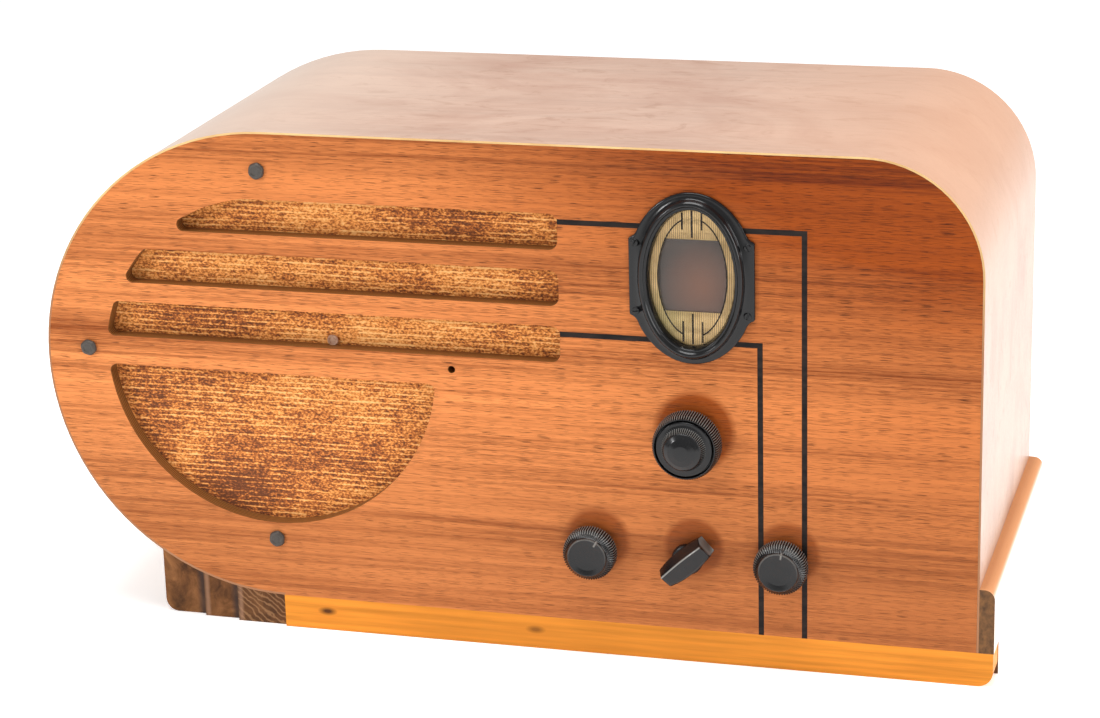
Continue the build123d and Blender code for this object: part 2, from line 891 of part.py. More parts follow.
bar_l = 33.0
bar_mid_w = 15.2
bar_end_w = 8.8
bar_chamfer = 2.0
hub_r_band = 9.5
hub_front = -5.5
bar_front = -15.5
bar_bore = -11.5
band_shaft_front = -11.2
band_shaft_back = 81.0
with BuildPart() as band_switch_knob:
    turn(
        band_u,
        control_w,
        [(knob_back, 0), (knob_back, hub_r_band), (hub_front, hub_r_band), (hub_front, 0)],
    )
    with BuildSketch(turned_face(band_u, control_w, hub_front, band_angle)):
        with BuildLine():
            Polyline(
                (-bar_l / 2, -bar_end_w / 2),
                (0, -bar_mid_w / 2),
                (bar_l / 2, -bar_end_w / 2),
                (bar_l / 2, bar_end_w / 2),
                (0, bar_mid_w / 2),
                (-bar_l / 2, bar_end_w / 2),
                close=True,
            )
        make_face()
    extrude(amount=hub_front - bar_front)
    grip_edges = band_switch_knob.faces().sort_by(Axis.Y)[0].edges()
    chamfer(grip_edges, bar_chamfer)
    with BuildSketch(behind(knob_back)):
        with Locations((band_u, control_w)):
            Circle(spindle_r + running)
    extrude(amount=knob_back - bar_bore, mode=Mode.SUBTRACT)

with BuildPart() as band_switch_shaft:
    turn(
        band_u,
        control_w,
        [
            (band_shaft_front, 0),
            (band_shaft_front, spindle_r),
            (band_shaft_back, spindle_r),
            (band_shaft_back, 0),
        ],
    )

wafer_depths = [61.0, 75.0]
wafer_r = 17.0
wafer_t = 1.6
detent_back = 51.0
spacer_pitch = 24.0
spacer_r = 1.5
spacer_l = 28.0
with BuildPart() as band_switch:
    turn(
        band_u,
        control_w,
        [
            (bushing_front, spindle_r + running),
            (bushing_front, bushing_r),
            (can_front, bushing_r),
            (can_front, control_can_r),
            (detent_back, control_can_r),
            (detent_back, spindle_r + running),
        ],
    )
    for depth in wafer_depths:
        with BuildSketch(behind(depth)):
            with Locations((band_u, control_w)):
                Circle(wafer_r)
                Circle(spindle_r + 1.0, mode=Mode.SUBTRACT)
        extrude(amount=-wafer_t)
    with BuildSketch(behind(detent_back - 1)):
        with Locations((band_u - spacer_pitch / 2, control_w), (band_u + spacer_pitch / 2, control_w)):
            Circle(spacer_r)
    extrude(amount=-spacer_l)

# ---------------------------------------------------------------- loudspeaker
basket_r = 103.0
surround_t = 0.8
basket_front = board_back + surround_t
basket_back = 62.0
pot_back = 118.0
pot_r = 40.0
pole_r = 11.6
former_r = 12.2
former_t = 0.5
cone_edge_r = 84.0
cone_front = basket_front + 0.6
neck_depth = 56.0
vent_r = 69.5
vent_w = 22.0
vent_half_angle = 26.0
basket_screw_r = 97.0
basket_screw_hole_r = 1.8
with BuildPart() as speaker_surround:
    turn(
        *speaker,
        [
            (board_back, cone_edge_r + 1.4),
            (board_back, basket_r),
            (basket_front, basket_r),
            (basket_front, cone_edge_r + 1.4),
        ],
    )

with BuildPart() as speaker_basket:
    turn(
        *speaker,
        [
            (basket_front, 90.0),
            (basket_front, basket_r),
            (basket_front + 1.5, basket_r),
            (basket_front + 1.5, 91.5),
            (basket_back, 50.0),
            (basket_back + 1.5, 49.0),
            (basket_back + 1.5, 20.0),
            (basket_back, 20.0),
            (basket_back, 48.0),
            (basket_back - 1.5, 48.6),
        ],
    )
    with BuildSketch(behind(basket_front + 6)):
        with Locations(speaker):
            with PolarLocations(vent_r, 4, 45):
                SlotArc(CenterArc((-vent_r, 0), vent_r, -vent_half_angle, 2 * vent_half_angle), vent_w)
    extrude(amount=-(basket_back - basket_front - 10), mode=Mode.SUBTRACT)
    with BuildSketch(behind(basket_front)):
        with Locations(speaker):
            with PolarLocations(basket_screw_r, 4, 45):
                Circle(basket_screw_hole_r)
    extrude(amount=-1.5, mode=Mode.SUBTRACT)

with BuildPart() as speaker_screws:
    for spot in PolarLocations(basket_screw_r, 4, 45):
        turn(
            speaker[0] + spot.position.X,
            speaker[1] + spot.position.Y,
            [
                (basket_front, 0),
                (basket_front, 1.7),
                (basket_front + 1.5, 1.7),
                (basket_front + 1.5, 3.8),
                (basket_front + 3.6, 2.6),
                (basket_front + 3.6, 0),
            ],
        )

with BuildPart() as speaker_cone:
    turn(
        *speaker,
        [
            (cone_front, cone_edge_r),
            (cone_front + 0.9, cone_edge_r),
            (neck_depth + 0.6, former_r + former_t),
            (neck_depth + 14.0, former_r + former_t),
            (neck_depth + 14.0, former_r),
            (neck_depth - 0.4, former_r),
            (neck_depth - 3.8, 6.5),
            (neck_depth - 4.6, 0),
            (neck_depth - 5.6, 0),
            (neck_depth - 4.8, 6.9),
            (neck_depth - 1.2, former_r + 0.2),
        ],
    )

with BuildPart() as speaker_spider:
    turn(
        *speaker,
        [
            (basket_back - 2.6, former_r + former_t + 0.8),
            (basket_back - 2.6, 44.0),
            (basket_back, 44.0),
            (basket_back, 38.0),
            (basket_back - 2.0, 38.0),
            (basket_back - 2.0, former_r + former_t + 0.8),
        ],
    )

pot_front = basket_back + 1.5
pot_wall_t = 5.0
pot_back_t = 6.0
pot_gap = 0.7
coil_r = 13.6
coil_front = pot_front + 10.0
with BuildPart() as field_pot:
    turn(
        *speaker,
        [
            (pot_front, former_r + former_t + pot_gap),
            (pot_front, pot_r),
            (pot_back, pot_r),
            (pot_back, 0),
            (pot_front + 0.5, 0),
            (pot_front + 0.5, pole_r),
            (pot_back - pot_back_t, pole_r),
            (pot_back - pot_back_t, pot_r - pot_wall_t),
            (pot_front + pot_wall_t, pot_r - pot_wall_t),
            (pot_front + pot_wall_t, former_r + former_t + pot_gap),
        ],
    )

with BuildPart() as field_coil:
    turn(
        *speaker,
        [
            (coil_front, coil_r),
            (coil_front, pot_r - pot_wall_t - 0.6),
            (pot_back - pot_back_t - 0.4, pot_r - pot_wall_t - 0.6),
            (pot_back - pot_back_t - 0.4, coil_r),
        ],
    )

output_at = (288.0, 233.0)
with BuildPart() as output_transformer:
    for half_w, half_h, thick in ((16, 19, 32), (10, 12, 40), (24, 7, 1.5)):
        block(
            (output_at[0] - half_w, output_at[0] + half_w),
            (board_back, board_back + thick),
            (output_at[1] - half_h, output_at[1] + half_h),
        )

# ---------------------------------------------------------------- chassis and what stands on it
with BuildPart() as chassis:
    block((chassis_left, chassis_right), (chassis_front, chassis_rear), (chassis_low, chassis_top))
    block(
        (chassis_left + sheet_t, chassis_right - sheet_t),
        (chassis_front + sheet_t, chassis_rear - sheet_t),
        (chassis_low, chassis_top - sheet_t),
        mode=Mode.SUBTRACT,
    )
    for u_low, u_high in ((chassis_left, chassis_left + lip_w), (chassis_right - lip_w, chassis_right)):
        block((u_low, u_high), (chassis_front, chassis_rear), (chassis_low, chassis_low + sheet_t))
    with BuildSketch(level(chassis_low)):
        with Locations(*chassis_bolts_at):
            Circle(chassis_bolt_r + 0.2)
    extrude(amount=sheet_t, mode=Mode.SUBTRACT)
    with BuildSketch(behind(chassis_front)):
        with Locations((volume_u, control_w), (band_u, control_w), (tone_u, control_w)):
            Circle(bushing_r + running)
    extrude(amount=-sheet_t, mode=Mode.SUBTRACT)
    with BuildSketch(behind(chassis_rear - sheet_t)):
        with Locations((grommet_u, grommet_w)):
            Circle(grommet_hole_r)
    extrude(amount=-sheet_t, mode=Mode.SUBTRACT)
    with BuildSketch(level(chassis_top - sheet_t)):
        for u, depth, _ in tubes:
            with Locations((u, depth)):
                Circle(socket_hole_r)
    extrude(amount=sheet_t, mode=Mode.SUBTRACT)

with BuildPart() as chassis_cushions:
    with BuildSketch(level(floor_t)):
        with Locations(*chassis_bolts_at):
            Circle(cushion_r)
            Circle(chassis_bolt_r + 0.2, mode=Mode.SUBTRACT)
    extrude(amount=chassis_low - floor_t)

nut_low = chassis_low + sheet_t
bolt_nut_r = 4.5
bolt_nut_t = 3.0
with BuildPart() as chassis_bolts:
    for u, depth in chassis_bolts_at:
        turn_upright(
            u,
            depth,
            [
                (0, -3.0),
                (4.6, -3.0),
                (6.0, -1.2),
                (6.0, 0),
                (chassis_bolt_r, 0),
                (chassis_bolt_r, nut_low),
                (bolt_nut_r, nut_low),
                (bolt_nut_r, nut_low + bolt_nut_t),
                (chassis_bolt_r, nut_low + bolt_nut_t),
                (chassis_bolt_r, nut_low + bolt_nut_t + 2),
                (0, nut_low + bolt_nut_t + 2),
            ],
        )

grommet_r = 9.0
grommet_bore_r = 4.0
grommet_lip = 2.0
with BuildPart() as cord_grommet:
    turn(
        grommet_u,
        grommet_w,
        [
            (chassis_rear - sheet_t - grommet_lip, grommet_bore_r),
            (chassis_rear - sheet_t - grommet_lip, grommet_r),
            (chassis_rear - sheet_t, grommet_r),
            (chassis_rear - sheet_t, grommet_hole_r - 0.1),
            (chassis_rear, grommet_hole_r - 0.1),
            (chassis_rear, grommet_r),
            (chassis_rear + grommet_lip, grommet_r),
            (chassis_rear + grommet_lip, grommet_bore_r),
        ],
    )

core_at = (306.0, 92.0)
core_low = 22.0
core_high = 44.0
bell_h = 66.0
bell_round = 8.0
with BuildPart() as power_transformer:
    for half_w, half_d, low, high in ((33, 28, core_low, core_high), (29, 24, 0, bell_h)):
        block(
            (core_at[0] - half_w, core_at[0] + half_w),
            (core_at[1] - half_d, core_at[1] + half_d),
            (chassis_top + low, chassis_top + high),
        )
    cap_top = power_transformer.faces().sort_by(Axis.Z)[-1].edges()
    fillet(cap_top, bell_round)

filter_r = 16.0
filter_h = 95.0
with BuildPart() as filter_condensers:
    for u, depth in filter_cans:
        turn_upright(
            u,
            depth,
            [
                (0, chassis_top),
                (filter_r + 1, chassis_top),
                (filter_r + 1, chassis_top + 6),
                (filter_r, chassis_top + 7),
                (filter_r, chassis_top + filter_h - 3),
                (filter_r - 2, chassis_top + filter_h),
                (0, chassis_top + filter_h),
            ],
        )

can_side = 34.0
can_h = 88.0
can_corner_r = 5.0
can_top_r = 3.0
with BuildPart() as coil_can_shields:
    with BuildSketch(level(chassis_top)):
        with Locations(*coil_cans):
            RectangleRounded(can_side, can_side, can_corner_r)
    extrude(amount=can_h)
    can_tops = coil_can_shields.faces().group_by(Axis.Z)[-1].edges()
    fillet(can_tops, can_top_r)

socket_t = 2.4
socket_r = 17.0
socket_depth = 6.0
tube_base_r = 15.0
tube_base_h = 26.0
envelope_low = chassis_top + socket_t + tube_base_h
with BuildPart() as tube_sockets:
    with BuildSketch(level(chassis_top)):
        for u, depth, _ in tubes:
            with Locations((u, depth)):
                Circle(socket_r)
    extrude(amount=socket_t)
    with BuildSketch(level(chassis_top - socket_depth)):
        for u, depth, _ in tubes:
            with Locations((u, depth)):
                Circle(socket_hole_r - 0.2)
    extrude(amount=socket_depth)

with BuildPart() as tube_bases:
    for u, depth, _ in tubes:
        turn_upright(
            u,
            depth,
            [
                (0, chassis_top + socket_t),
                (tube_base_r, chassis_top + socket_t),
                (tube_base_r - 0.4, envelope_low),
                (0, envelope_low),
            ],
        )

with BuildPart() as tube_envelopes:
    for u, depth, widest in tubes:
        turn_upright(
            u,
            depth,
            [
                (tube_base_r - 3.0, envelope_low),
                (tube_base_r - 1.6, envelope_low),
                (widest * 0.86, envelope_low + 10),
                (widest, envelope_low + 22),
                (widest, envelope_low + 32),
                (widest * 0.88, envelope_low + 43),
                (13.6, envelope_low + 52),
                (13.0, envelope_low + 66),
                (10.4, envelope_low + 73),
                (5.0, envelope_low + 77),
                (0, envelope_low + 78),
                (0, envelope_low + 76.8),
                (4.6, envelope_low + 75.8),
                (9.6, envelope_low + 72),
                (11.8, envelope_low + 65.6),
                (12.4, envelope_low + 51.4),
                (widest * 0.88 - 1.2, envelope_low + 42.4),
                (widest - 1.2, envelope_low + 31.7),
                (widest - 1.2, envelope_low + 22.3),
                (widest * 0.86 - 1.2, envelope_low + 10.6),
            ],
        )

# ---------------------------------------------------------------- files
os.makedirs("parts", exist_ok=True)
pieces = {
    "front_panel": front_panel,
    "cabinet_shell": cabinet_shell,
    "bottom_board": bottom_board,
    "front_rail": front_rail,
    "rear_rail": rear_rail,
    "right_side_trim": right_side_trim,
    "left_foot_outer": left_foot_outer,
    "left_foot_middle": left_foot_middle,
    "left_foot_inner": left_foot_inner,
    "glue_blocks": glue_blocks,
    "inlay_outer": inlay_outer,
    "inlay_inner": inlay_inner,
    "grille_cloth": grille_cloth,
    "speaker_baffle_board": speaker_baffle_board,
    "baffle_bolts": baffle_bolts,
    "escutcheon": escutcheon,
    "escutcheon_screws": escutcheon_screws,
    "dial_glass": dial_glass,
    "dial_mask": dial_mask,
    "lamp_bracket": lamp_bracket,
    "dial_lamp": dial_lamp,
    "dial_disc": dial_disc,
    "drive_gear": drive_gear,
    "gang_rotor": gang_rotor,
    "gang_stators": gang_stators,
    "gang_frame": gang_frame,
    "gang_stand": gang_stand,
    "tuning_sleeve": tuning_sleeve,
    "drive_balls": drive_balls,
    "tuning_spindle": tuning_spindle,
    "ball_drive_housing": ball_drive_housing,
    "fast_tuning_knob": fast_tuning_knob,
    "slow_tuning_knob": slow_tuning_knob,
    "volume_knob": volume_knob,
    "volume_shaft": volume_shaft,
    "volume_control": volume_control,
    "tone_knob": tone_knob,
    "tone_shaft": tone_shaft,
    "tone_control": tone_control,
    "band_switch_knob": band_switch_knob,
    "band_switch_shaft": band_switch_shaft,
    "band_switch": band_switch,
    "speaker_surround": speaker_surround,
    "speaker_basket": speaker_basket,
    "speaker_screws": speaker_screws,
    "speaker_cone": speaker_cone,
    "speaker_spider": speaker_spider,
    "field_pot": field_pot,
    "field_coil": field_coil,
    "output_transformer": output_transformer,
    "chassis": chassis,
    "chassis_cushions": chassis_cushions,
    "chassis_bolts": chassis_bolts,
    "cord_grommet": cord_grommet,
    "power_transformer": power_transformer,
    "filter_condensers": filter_condensers,
    "coil_can_shields": coil_can_shields,
    "tube_sockets": tube_sockets,
    "tube_bases": tube_bases,
    "tube_envelopes": tube_envelopes,
}
for name, piece in pieces.items():
    piece.part.label = name
    export_step(piece.part, f"parts/{name}.step")
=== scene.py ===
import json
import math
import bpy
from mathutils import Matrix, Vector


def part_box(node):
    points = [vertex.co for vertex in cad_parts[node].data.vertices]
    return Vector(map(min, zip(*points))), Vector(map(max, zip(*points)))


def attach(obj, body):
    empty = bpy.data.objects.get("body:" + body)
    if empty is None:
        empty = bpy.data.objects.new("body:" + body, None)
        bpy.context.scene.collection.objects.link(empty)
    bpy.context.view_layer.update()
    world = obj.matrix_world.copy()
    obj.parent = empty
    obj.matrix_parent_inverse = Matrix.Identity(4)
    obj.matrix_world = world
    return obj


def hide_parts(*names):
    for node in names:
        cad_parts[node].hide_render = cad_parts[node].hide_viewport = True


bl_info = {
    "name": "Bullet-cabinet table radio",
    "version": (1, 0, 0),
    "blender": (4, 5, 0),
    "location": "View3D > Sidebar > Radio",
    "description": "Finishes and surface pieces for a wooden tabletop radio",
    "category": "Object",
}

import bmesh
import bpy
import numpy as np
from mathutils import Matrix

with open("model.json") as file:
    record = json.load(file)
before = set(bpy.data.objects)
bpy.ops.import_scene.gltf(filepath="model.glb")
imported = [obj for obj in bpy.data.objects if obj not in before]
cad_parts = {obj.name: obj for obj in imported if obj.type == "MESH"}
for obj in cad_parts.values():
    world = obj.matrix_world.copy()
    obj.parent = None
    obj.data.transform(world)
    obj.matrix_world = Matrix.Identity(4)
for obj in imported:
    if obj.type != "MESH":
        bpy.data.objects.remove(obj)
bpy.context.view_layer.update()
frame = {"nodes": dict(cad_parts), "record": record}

MM = 0.001
FULL_TURN = 2 * math.pi
SEW = 1e-7  # corners nearer than this become one

# ------------------------------------------------------------------ places read from the frame


def low(node):
    """Lowest corner of a CAD node, as an array in metres."""
    return np.array(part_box(node)[0])


def high(node):
    """Highest corner of a CAD node, as an array in metres."""
    return np.array(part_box(node)[1])


def middle(node):
    """Middle of a CAD node's box, as an array in metres."""
    return (low(node) + high(node)) / 2


LEFT, FACE, SILL = low("cabinet_shell")
RIGHT, _, CROWN = high("cabinet_shell")
END_R = (CROWN - SILL) / 2
PANEL_BACK = high("front_panel")[1]
DIAL = middle("escutcheon")


def at(across, depth, height):
    """Place in millimetres from the cabinet's left end, back from its face and up from its sill."""
    return np.array([LEFT + across * MM, FACE + depth * MM, SILL + height * MM])


# ------------------------------------------------------------------ sizes and colours a user may change


def count_choice(label, about, value, least):
    return bpy.props.IntProperty(name=label, description=about, default=value, min=least)


def length_choice(label, about, value, least=0.0):
    return bpy.props.FloatProperty(
        name=label, description=about, default=value, unit="LENGTH", min=least
    )


def colour_choice(label, about, *value):
    return bpy.props.FloatVectorProperty(
        name=label, description=about, subtype="COLOR", size=3, default=value, min=0.0, max=1.0
    )


class RadioSizes(bpy.types.PropertyGroup):
    """Counts and small sizes of the surface detail."""

    small_knob_flutes: count_choice(
        "Small knob flutes", "Flutes round a volume or tone knob", 64, 12
    )
    tuning_knob_flutes: count_choice(
        "Tuning knob flutes", "Flutes round the outer tuning knob", 84, 12
    )
    flute_depth: length_choice("Flute depth", "Depth of the knobs' flutes", 0.0008)
    thread_pitch: length_choice(
        "Thread pitch", "Height of one row of the grille cloth", 0.0031, least=0.0001
    )
    thread_relief: length_choice(
        "Thread relief", "How far a row stands out of the cloth", 0.00022
    )
    dial_marks: count_choice("Dial marks", "Marks round the celluloid dial disc", 72, 0)


class RadioColours(bpy.types.PropertyGroup):
    """Main colours of the radio's finishes, in linear light."""

    veneer_light: colour_choice(
        "Veneer, light", "Palest streaks of the front veneer", 0.84, 0.292, 0.088
    )
    veneer_dark: colour_choice(
        "Veneer, dark", "Darkest streaks of the front veneer", 0.25, 0.056, 0.009
    )
    shell_tan: colour_choice("Shell veneer", "Worn veneer of the bent shell", 0.50, 0.318, 0.232)
    pine: colour_choice("Pine", "Sanded pine of the front rail", 0.80, 0.285, 0.034)
    cloth_gold: colour_choice(
        "Cloth, gold", "Light threads of the grille cloth", 0.84, 0.320, 0.066
    )
    cloth_brown: colour_choice(
        "Cloth, brown", "Dark threads and stains of the grille cloth", 0.27, 0.070, 0.012
    )
    moulding: colour_choice(
        "Moulding", "Black moulded knobs and escutcheon", 0.0065, 0.0065, 0.007
    )


# ------------------------------------------------------------------ surfaces


def lattice(rows, columns, close_rows, close_columns):
    """Corner numbers of the quads of a grid whose points are numbered row by row."""
    row = np.arange(rows if close_rows else rows - 1)
    column = np.arange(columns if close_columns else columns - 1)
    r, c = np.meshgrid(row, column, indexing="ij")
    r_next = (r + 1) % rows
    c_next = (c + 1) % columns
    corners = [r * columns + c, r_next * columns + c, r_next * columns + c_next, r * columns + c_next]
    return np.stack(corners, -1).reshape(-1, 4)


def signed_volume(points, quads):
    """Six times the volume inside the quads: positive where corners run anticlockwise from outside."""
    a, b, c, d = (points[quads[:, k]] for k in range(4))
    one = np.einsum("ij,ij->i", a, np.cross(b, c))
    two = np.einsum("ij,ij->i", a, np.cross(c, d))
    return float((one + two).sum())


def facing(points, quads):
    """Sum of the quads' area vectors."""
    a, b, c, d = (points[quads[:, k]] for k in range(4))
    return np.cross(c - a, d - b).sum(axis=0)


def piece(name, grids, body, material, towards=None, smooth=True, merge=SEW):
    """One mesh object from grids of points, each (points, close_rows, close_columns).

    A closed grid is turned so that it holds a positive volume; an open one so that it faces towards.
    """
    all_points = []
    all_quads = []
    count = 0
    for points, close_rows, close_columns in grids:
        rows, columns = points.shape[:2]
        quads = lattice(rows, columns, close_rows, close_columns)
        flat = points.reshape(-1, 3)
        if towards is None:
            inside_out = signed_volume(flat - flat.mean(axis=0), quads) < 0
        else:
            inside_out = float(facing(flat, quads) @ np.array(towards, dtype=float)) < 0
        if inside_out:
            quads = quads[:, ::-1]
        all_points.append(flat)
        all_quads.append(quads + count)
        count += len(flat)
    points = np.concatenate(all_points)
    quads = np.concatenate(all_quads)
    mesh = bpy.data.meshes.new(name)
    mesh.vertices.add(len(points))
    mesh.vertices.foreach_set("co", points.ravel())
    mesh.loops.add(quads.size)
    mesh.loops.foreach_set("vertex_index", quads.ravel())
    mesh.polygons.add(len(quads))
    mesh.polygons.foreach_set("loop_start", np.arange(0, quads.size, 4))
    mesh.polygons.foreach_set("use_smooth", np.full(len(quads), smooth))
    mesh.update(calc_edges=True)
    mesh.validate()
    if merge:
        sewn = bmesh.new()
        sewn.from_mesh(mesh)
        bmesh.ops.remove_doubles(sewn, verts=sewn.verts, dist=merge)
        bmesh.ops.dissolve_degenerate(sewn, edges=sewn.edges, dist=merge)
        sewn.to_mesh(mesh)
        sewn.free()
    obj = bpy.data.objects.new(name, mesh)
    bpy.context.scene.collection.objects.link(obj)
    mesh.materials.append(material)
    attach(obj, body)
    return obj


def rounded(outline, radius, steps=4):
    """Outline with each inner corner replaced by a quadratic curve that starts radius before it."""
    outline = np.array(outline, dtype=float)
    result = [outline[:1]]
    t = np.linspace(0, 1, steps + 1)[:, None]
    for before, corner, after in zip(outline[:-2], outline[1:-1], outline[2:]):
        arm_in = before - corner
        arm_out = after - corner
        long_in, long_out = np.linalg.norm(arm_in), np.linalg.norm(arm_out)
        reach = min(radius, 0.45 * long_in, 0.45 * long_out)
        start = corner + arm_in / long_in * reach
        end = corner + arm_out / long_out * reach
        result.append((1 - t) ** 2 * start + 2 * t * (1 - t) * corner + t**2 * end)
    result.append(outline[-1:])
    return np.concatenate(result)


def turned(centre, outline, around, wave=None):
    """Surface of revolution about a front-to-back line, from an outline of (depth, radius) in mm.

    A point is centre + radius * (cos a, 0, sin a), at the outline's depth behind the face.
    wave(a, depth, radius) gives what is added to the depth and what is taken off the radius, so
    flutes are a function of the angle and of the place along the outline.
    """
    outline = np.array(outline, dtype=float) * MM
    angle = np.linspace(0, FULL_TURN, around, endpoint=False)[:, None]
    depth = np.broadcast_to(outline[:, 0], (around, len(outline)))
    radius = np.broadcast_to(outline[:, 1], (around, len(outline))).copy()
    if wave is not None:
        d_depth, d_radius = wave(angle, outline[:, 0] / MM, outline[:, 1] / MM)
        depth = depth + d_depth * MM
        radius = radius - d_radius * MM
    x = centre[0] + radius * np.cos(angle)
    z = centre[2] + radius * np.sin(angle)
    y = np.broadcast_to(FACE + depth, x.shape)
    return np.stack([x, y, z], -1)


def turned_upright(x, y, outline, around):
    """Surface of revolution about an upright line at (x, y), from (radius, height) in metres."""
    outline = np.array(outline, dtype=float)
    angle = np.linspace(0, FULL_TURN, around, endpoint=False)[:, None]
    px = x + outline[:, 0] * np.cos(angle)
    py = y + outline[:, 0] * np.sin(angle)
    pz = np.broadcast_to(outline[:, 1], px.shape)
    return np.stack([px, py, pz], -1)


def level_sheet(x, depth, z):
    """Open grid of points across x and z, at one depth or at a depth for each point."""
    return np.stack([x, np.broadcast_to(depth, x.shape), z], -1), False, False


# ------------------------------------------------------------------ finishes


class Finish:
    """One material's node tree.  Patterns read Object coordinates, so they stay on the piece."""

    def __init__(self, name, roughness=0.5, metallic=0.0, **sockets):
        self.material = bpy.data.materials.new(name)
        self.material.use_nodes = True
        self.tree = self.material.node_tree
        self.shader = self.tree.nodes["Principled BSDF"]
        self.place = self.add("ShaderNodeTexCoord").outputs["Object"]
        self.set("Roughness", roughness)
        self.set("Metallic", metallic)
        for socket, value in sockets.items():
            self.set(socket.replace("_", " "), value)

    def add(self, kind, values=None, **settings):
        """New node with its settings, and fixed values or links for its inputs."""
        node = self.tree.nodes.new(kind)
        for key, value in settings.items():
            setattr(node, key, value)
        for key, value in (values or {}).items():
            self.feed(node.inputs[key], value)
        return node

    def feed(self, socket, value):
        """Link a socket to an output, or give it a fixed value."""
        if isinstance(value, bpy.types.NodeSocket):
            self.tree.links.new(value, socket)
        elif hasattr(value, "__len__") and socket.type == "RGBA" and len(value) == 3:
            socket.default_value = (*value, 1.0)
        else:
            socket.default_value = value

    def set(self, socket, value):
        """Feed one of the shader's own sockets."""
        self.feed(self.shader.inputs[socket], value)

    def colour(self, value):
        self.set("Base Color", value)

    def roughness(self, value):
        self.set("Roughness", value)

    def bump(self, height, distance, strength):
        values = {"Height": height, "Distance": distance, "Strength": strength}
        self.set("Normal", self.add("ShaderNodeBump", values).outputs["Normal"])

    def scaled(self, scale, shift=(0.0, 0.0, 0.0), turn=(0.0, 0.0, 0.0)):
        """Coordinates times a scale for each axis, after a turn and before a shift."""
        values = {"Vector": self.place, "Scale": scale, "Location": shift, "Rotation": turn}
        return self.add("ShaderNodeMapping", values).outputs["Vector"]

    def noise(self, scale, detail=4.0, rough=0.55, bend=0.0, shift=(0.0, 0.0, 0.0)):
        values = {"Vector": self.scaled(scale, shift), "Scale": 1.0, "Detail": detail}
        values.update({"Roughness": rough, "Distortion": bend})
        return self.add("ShaderNodeTexNoise", values).outputs["Fac"]

    def bands(self, vector, scale, bend, direction, detail=2.0):
        values = {"Vector": vector, "Scale": scale, "Distortion": bend, "Detail": detail}
        return self.add("ShaderNodeTexWave", values, bands_direction=direction).outputs["Fac"]

    def ramp(self, value, *stops):
        """Colour from a value; each stop is (place, colour) or (place, grey)."""
        node = self.add("ShaderNodeValToRGB", {"Fac": value})
        elements = node.color_ramp.elements
        while len(elements) < len(stops):
            elements.new(0.5)
        for element, (place, colour) in zip(elements, stops):
            element.position = place
            colour = tuple(colour) if hasattr(colour, "__len__") else (colour,) * 3
            element.color = (*colour, 1.0)
        return node.outputs["Color"]

    def mix(self, share, one, two, blend="MIX"):
        values = {0: share, 6: one, 7: two}
        return self.add("ShaderNodeMix", values, data_type="RGBA", blend_type=blend).outputs[2]

    def wash(self, shade, colour, mask, strength):
        """The shade with a colour laid over it where the mask is up, as strongly as stated."""
        return self.mix(self.times(mask, strength), shade, colour)

    def maths(self, operation, one, two=0.5, clamp=False):
        values = {0: one, 1: two}
        return self.add("ShaderNodeMath", values, operation=operation, use_clamp=clamp).outputs[0]

    def times(self, one, two, clamp=False):
        return self.maths("MULTIPLY", one, two, clamp)

    def plus(self, one, two):
        return self.maths("ADD", one, two)

    def minus(self, one, two):
        return self.maths("SUBTRACT", one, two)

    def larger(self, one, two):
        return self.maths("MAXIMUM", one, two)

    def gap(self, one, two):
        """How far one value is from another, whichever is larger."""
        return self.maths("ABSOLUTE", self.minus(one, two))

    def step(self, value, start, end):
        """0 below start, 1 above end, and a straight rise between; start may be the larger."""
        values = {"Value": value, "From Min": start, "From Max": end}
        return self.add("ShaderNodeMapRange", values, clamp=True).outputs["Result"]

    def inside(self, value, low_end, high_end, blur_low, blur_high):
        """1 between two ends and 0 beyond them, with a short blur inside each end."""
        rise = self.step(value, low_end, low_end + blur_low)
        return self.times(rise, self.step(value, high_end, high_end - blur_high))

    def axes(self, vector):
        node = self.add("ShaderNodeSeparateXYZ", {0: vector})
        return node.outputs[0], node.outputs[1], node.outputs[2]

    def normal(self):
        return self.add("ShaderNodeNewGeometry").outputs["Normal"]

    def about(self, centre):
        """Coordinates (x, y, z) measured from a centre."""
        return self.axes(self.scaled((1, 1, 1), tuple(-centre)))

    def spot(self, centre, reach):
        """1 at centre, falling to 0 at reach = (x, y, z) from it, as an ellipsoid."""
        inverse = [1 / r for r in reach]
        shift = [-c * i for c, i in zip(centre, inverse)]
        values = {0: self.scaled(inverse, shift)}
        length = self.add("ShaderNodeVectorMath", values, operation="LENGTH")
        return self.step(length.outputs["Value"], 1.0, 0.0)

    def polar(self, x, z):
        """Angle and radius of (x, z)."""
        radius = self.maths("SQRT", self.plus(self.times(x, x), self.times(z, z)))
        return self.maths("ARCTAN2", z, x), radius


def tint(colour, factor):
    """Colour times a factor, kept under one."""
    return tuple(min(1.0, c * factor) for c in colour)


def blended(one, two, share):
    """Colour between two colours."""
    return tuple(a * (1 - share) + b * share for a, b in zip(one, two))


# How a pattern is drawn out by the grain: the small number lies along it.
ALONG_X = (0.05, 1.0, 1.0)
ALONG_Y = (1.0, 0.05, 1.0)
PORE_BLUR = (0.105, 0.165)  # a pore starts and is fully dark this far above the cut


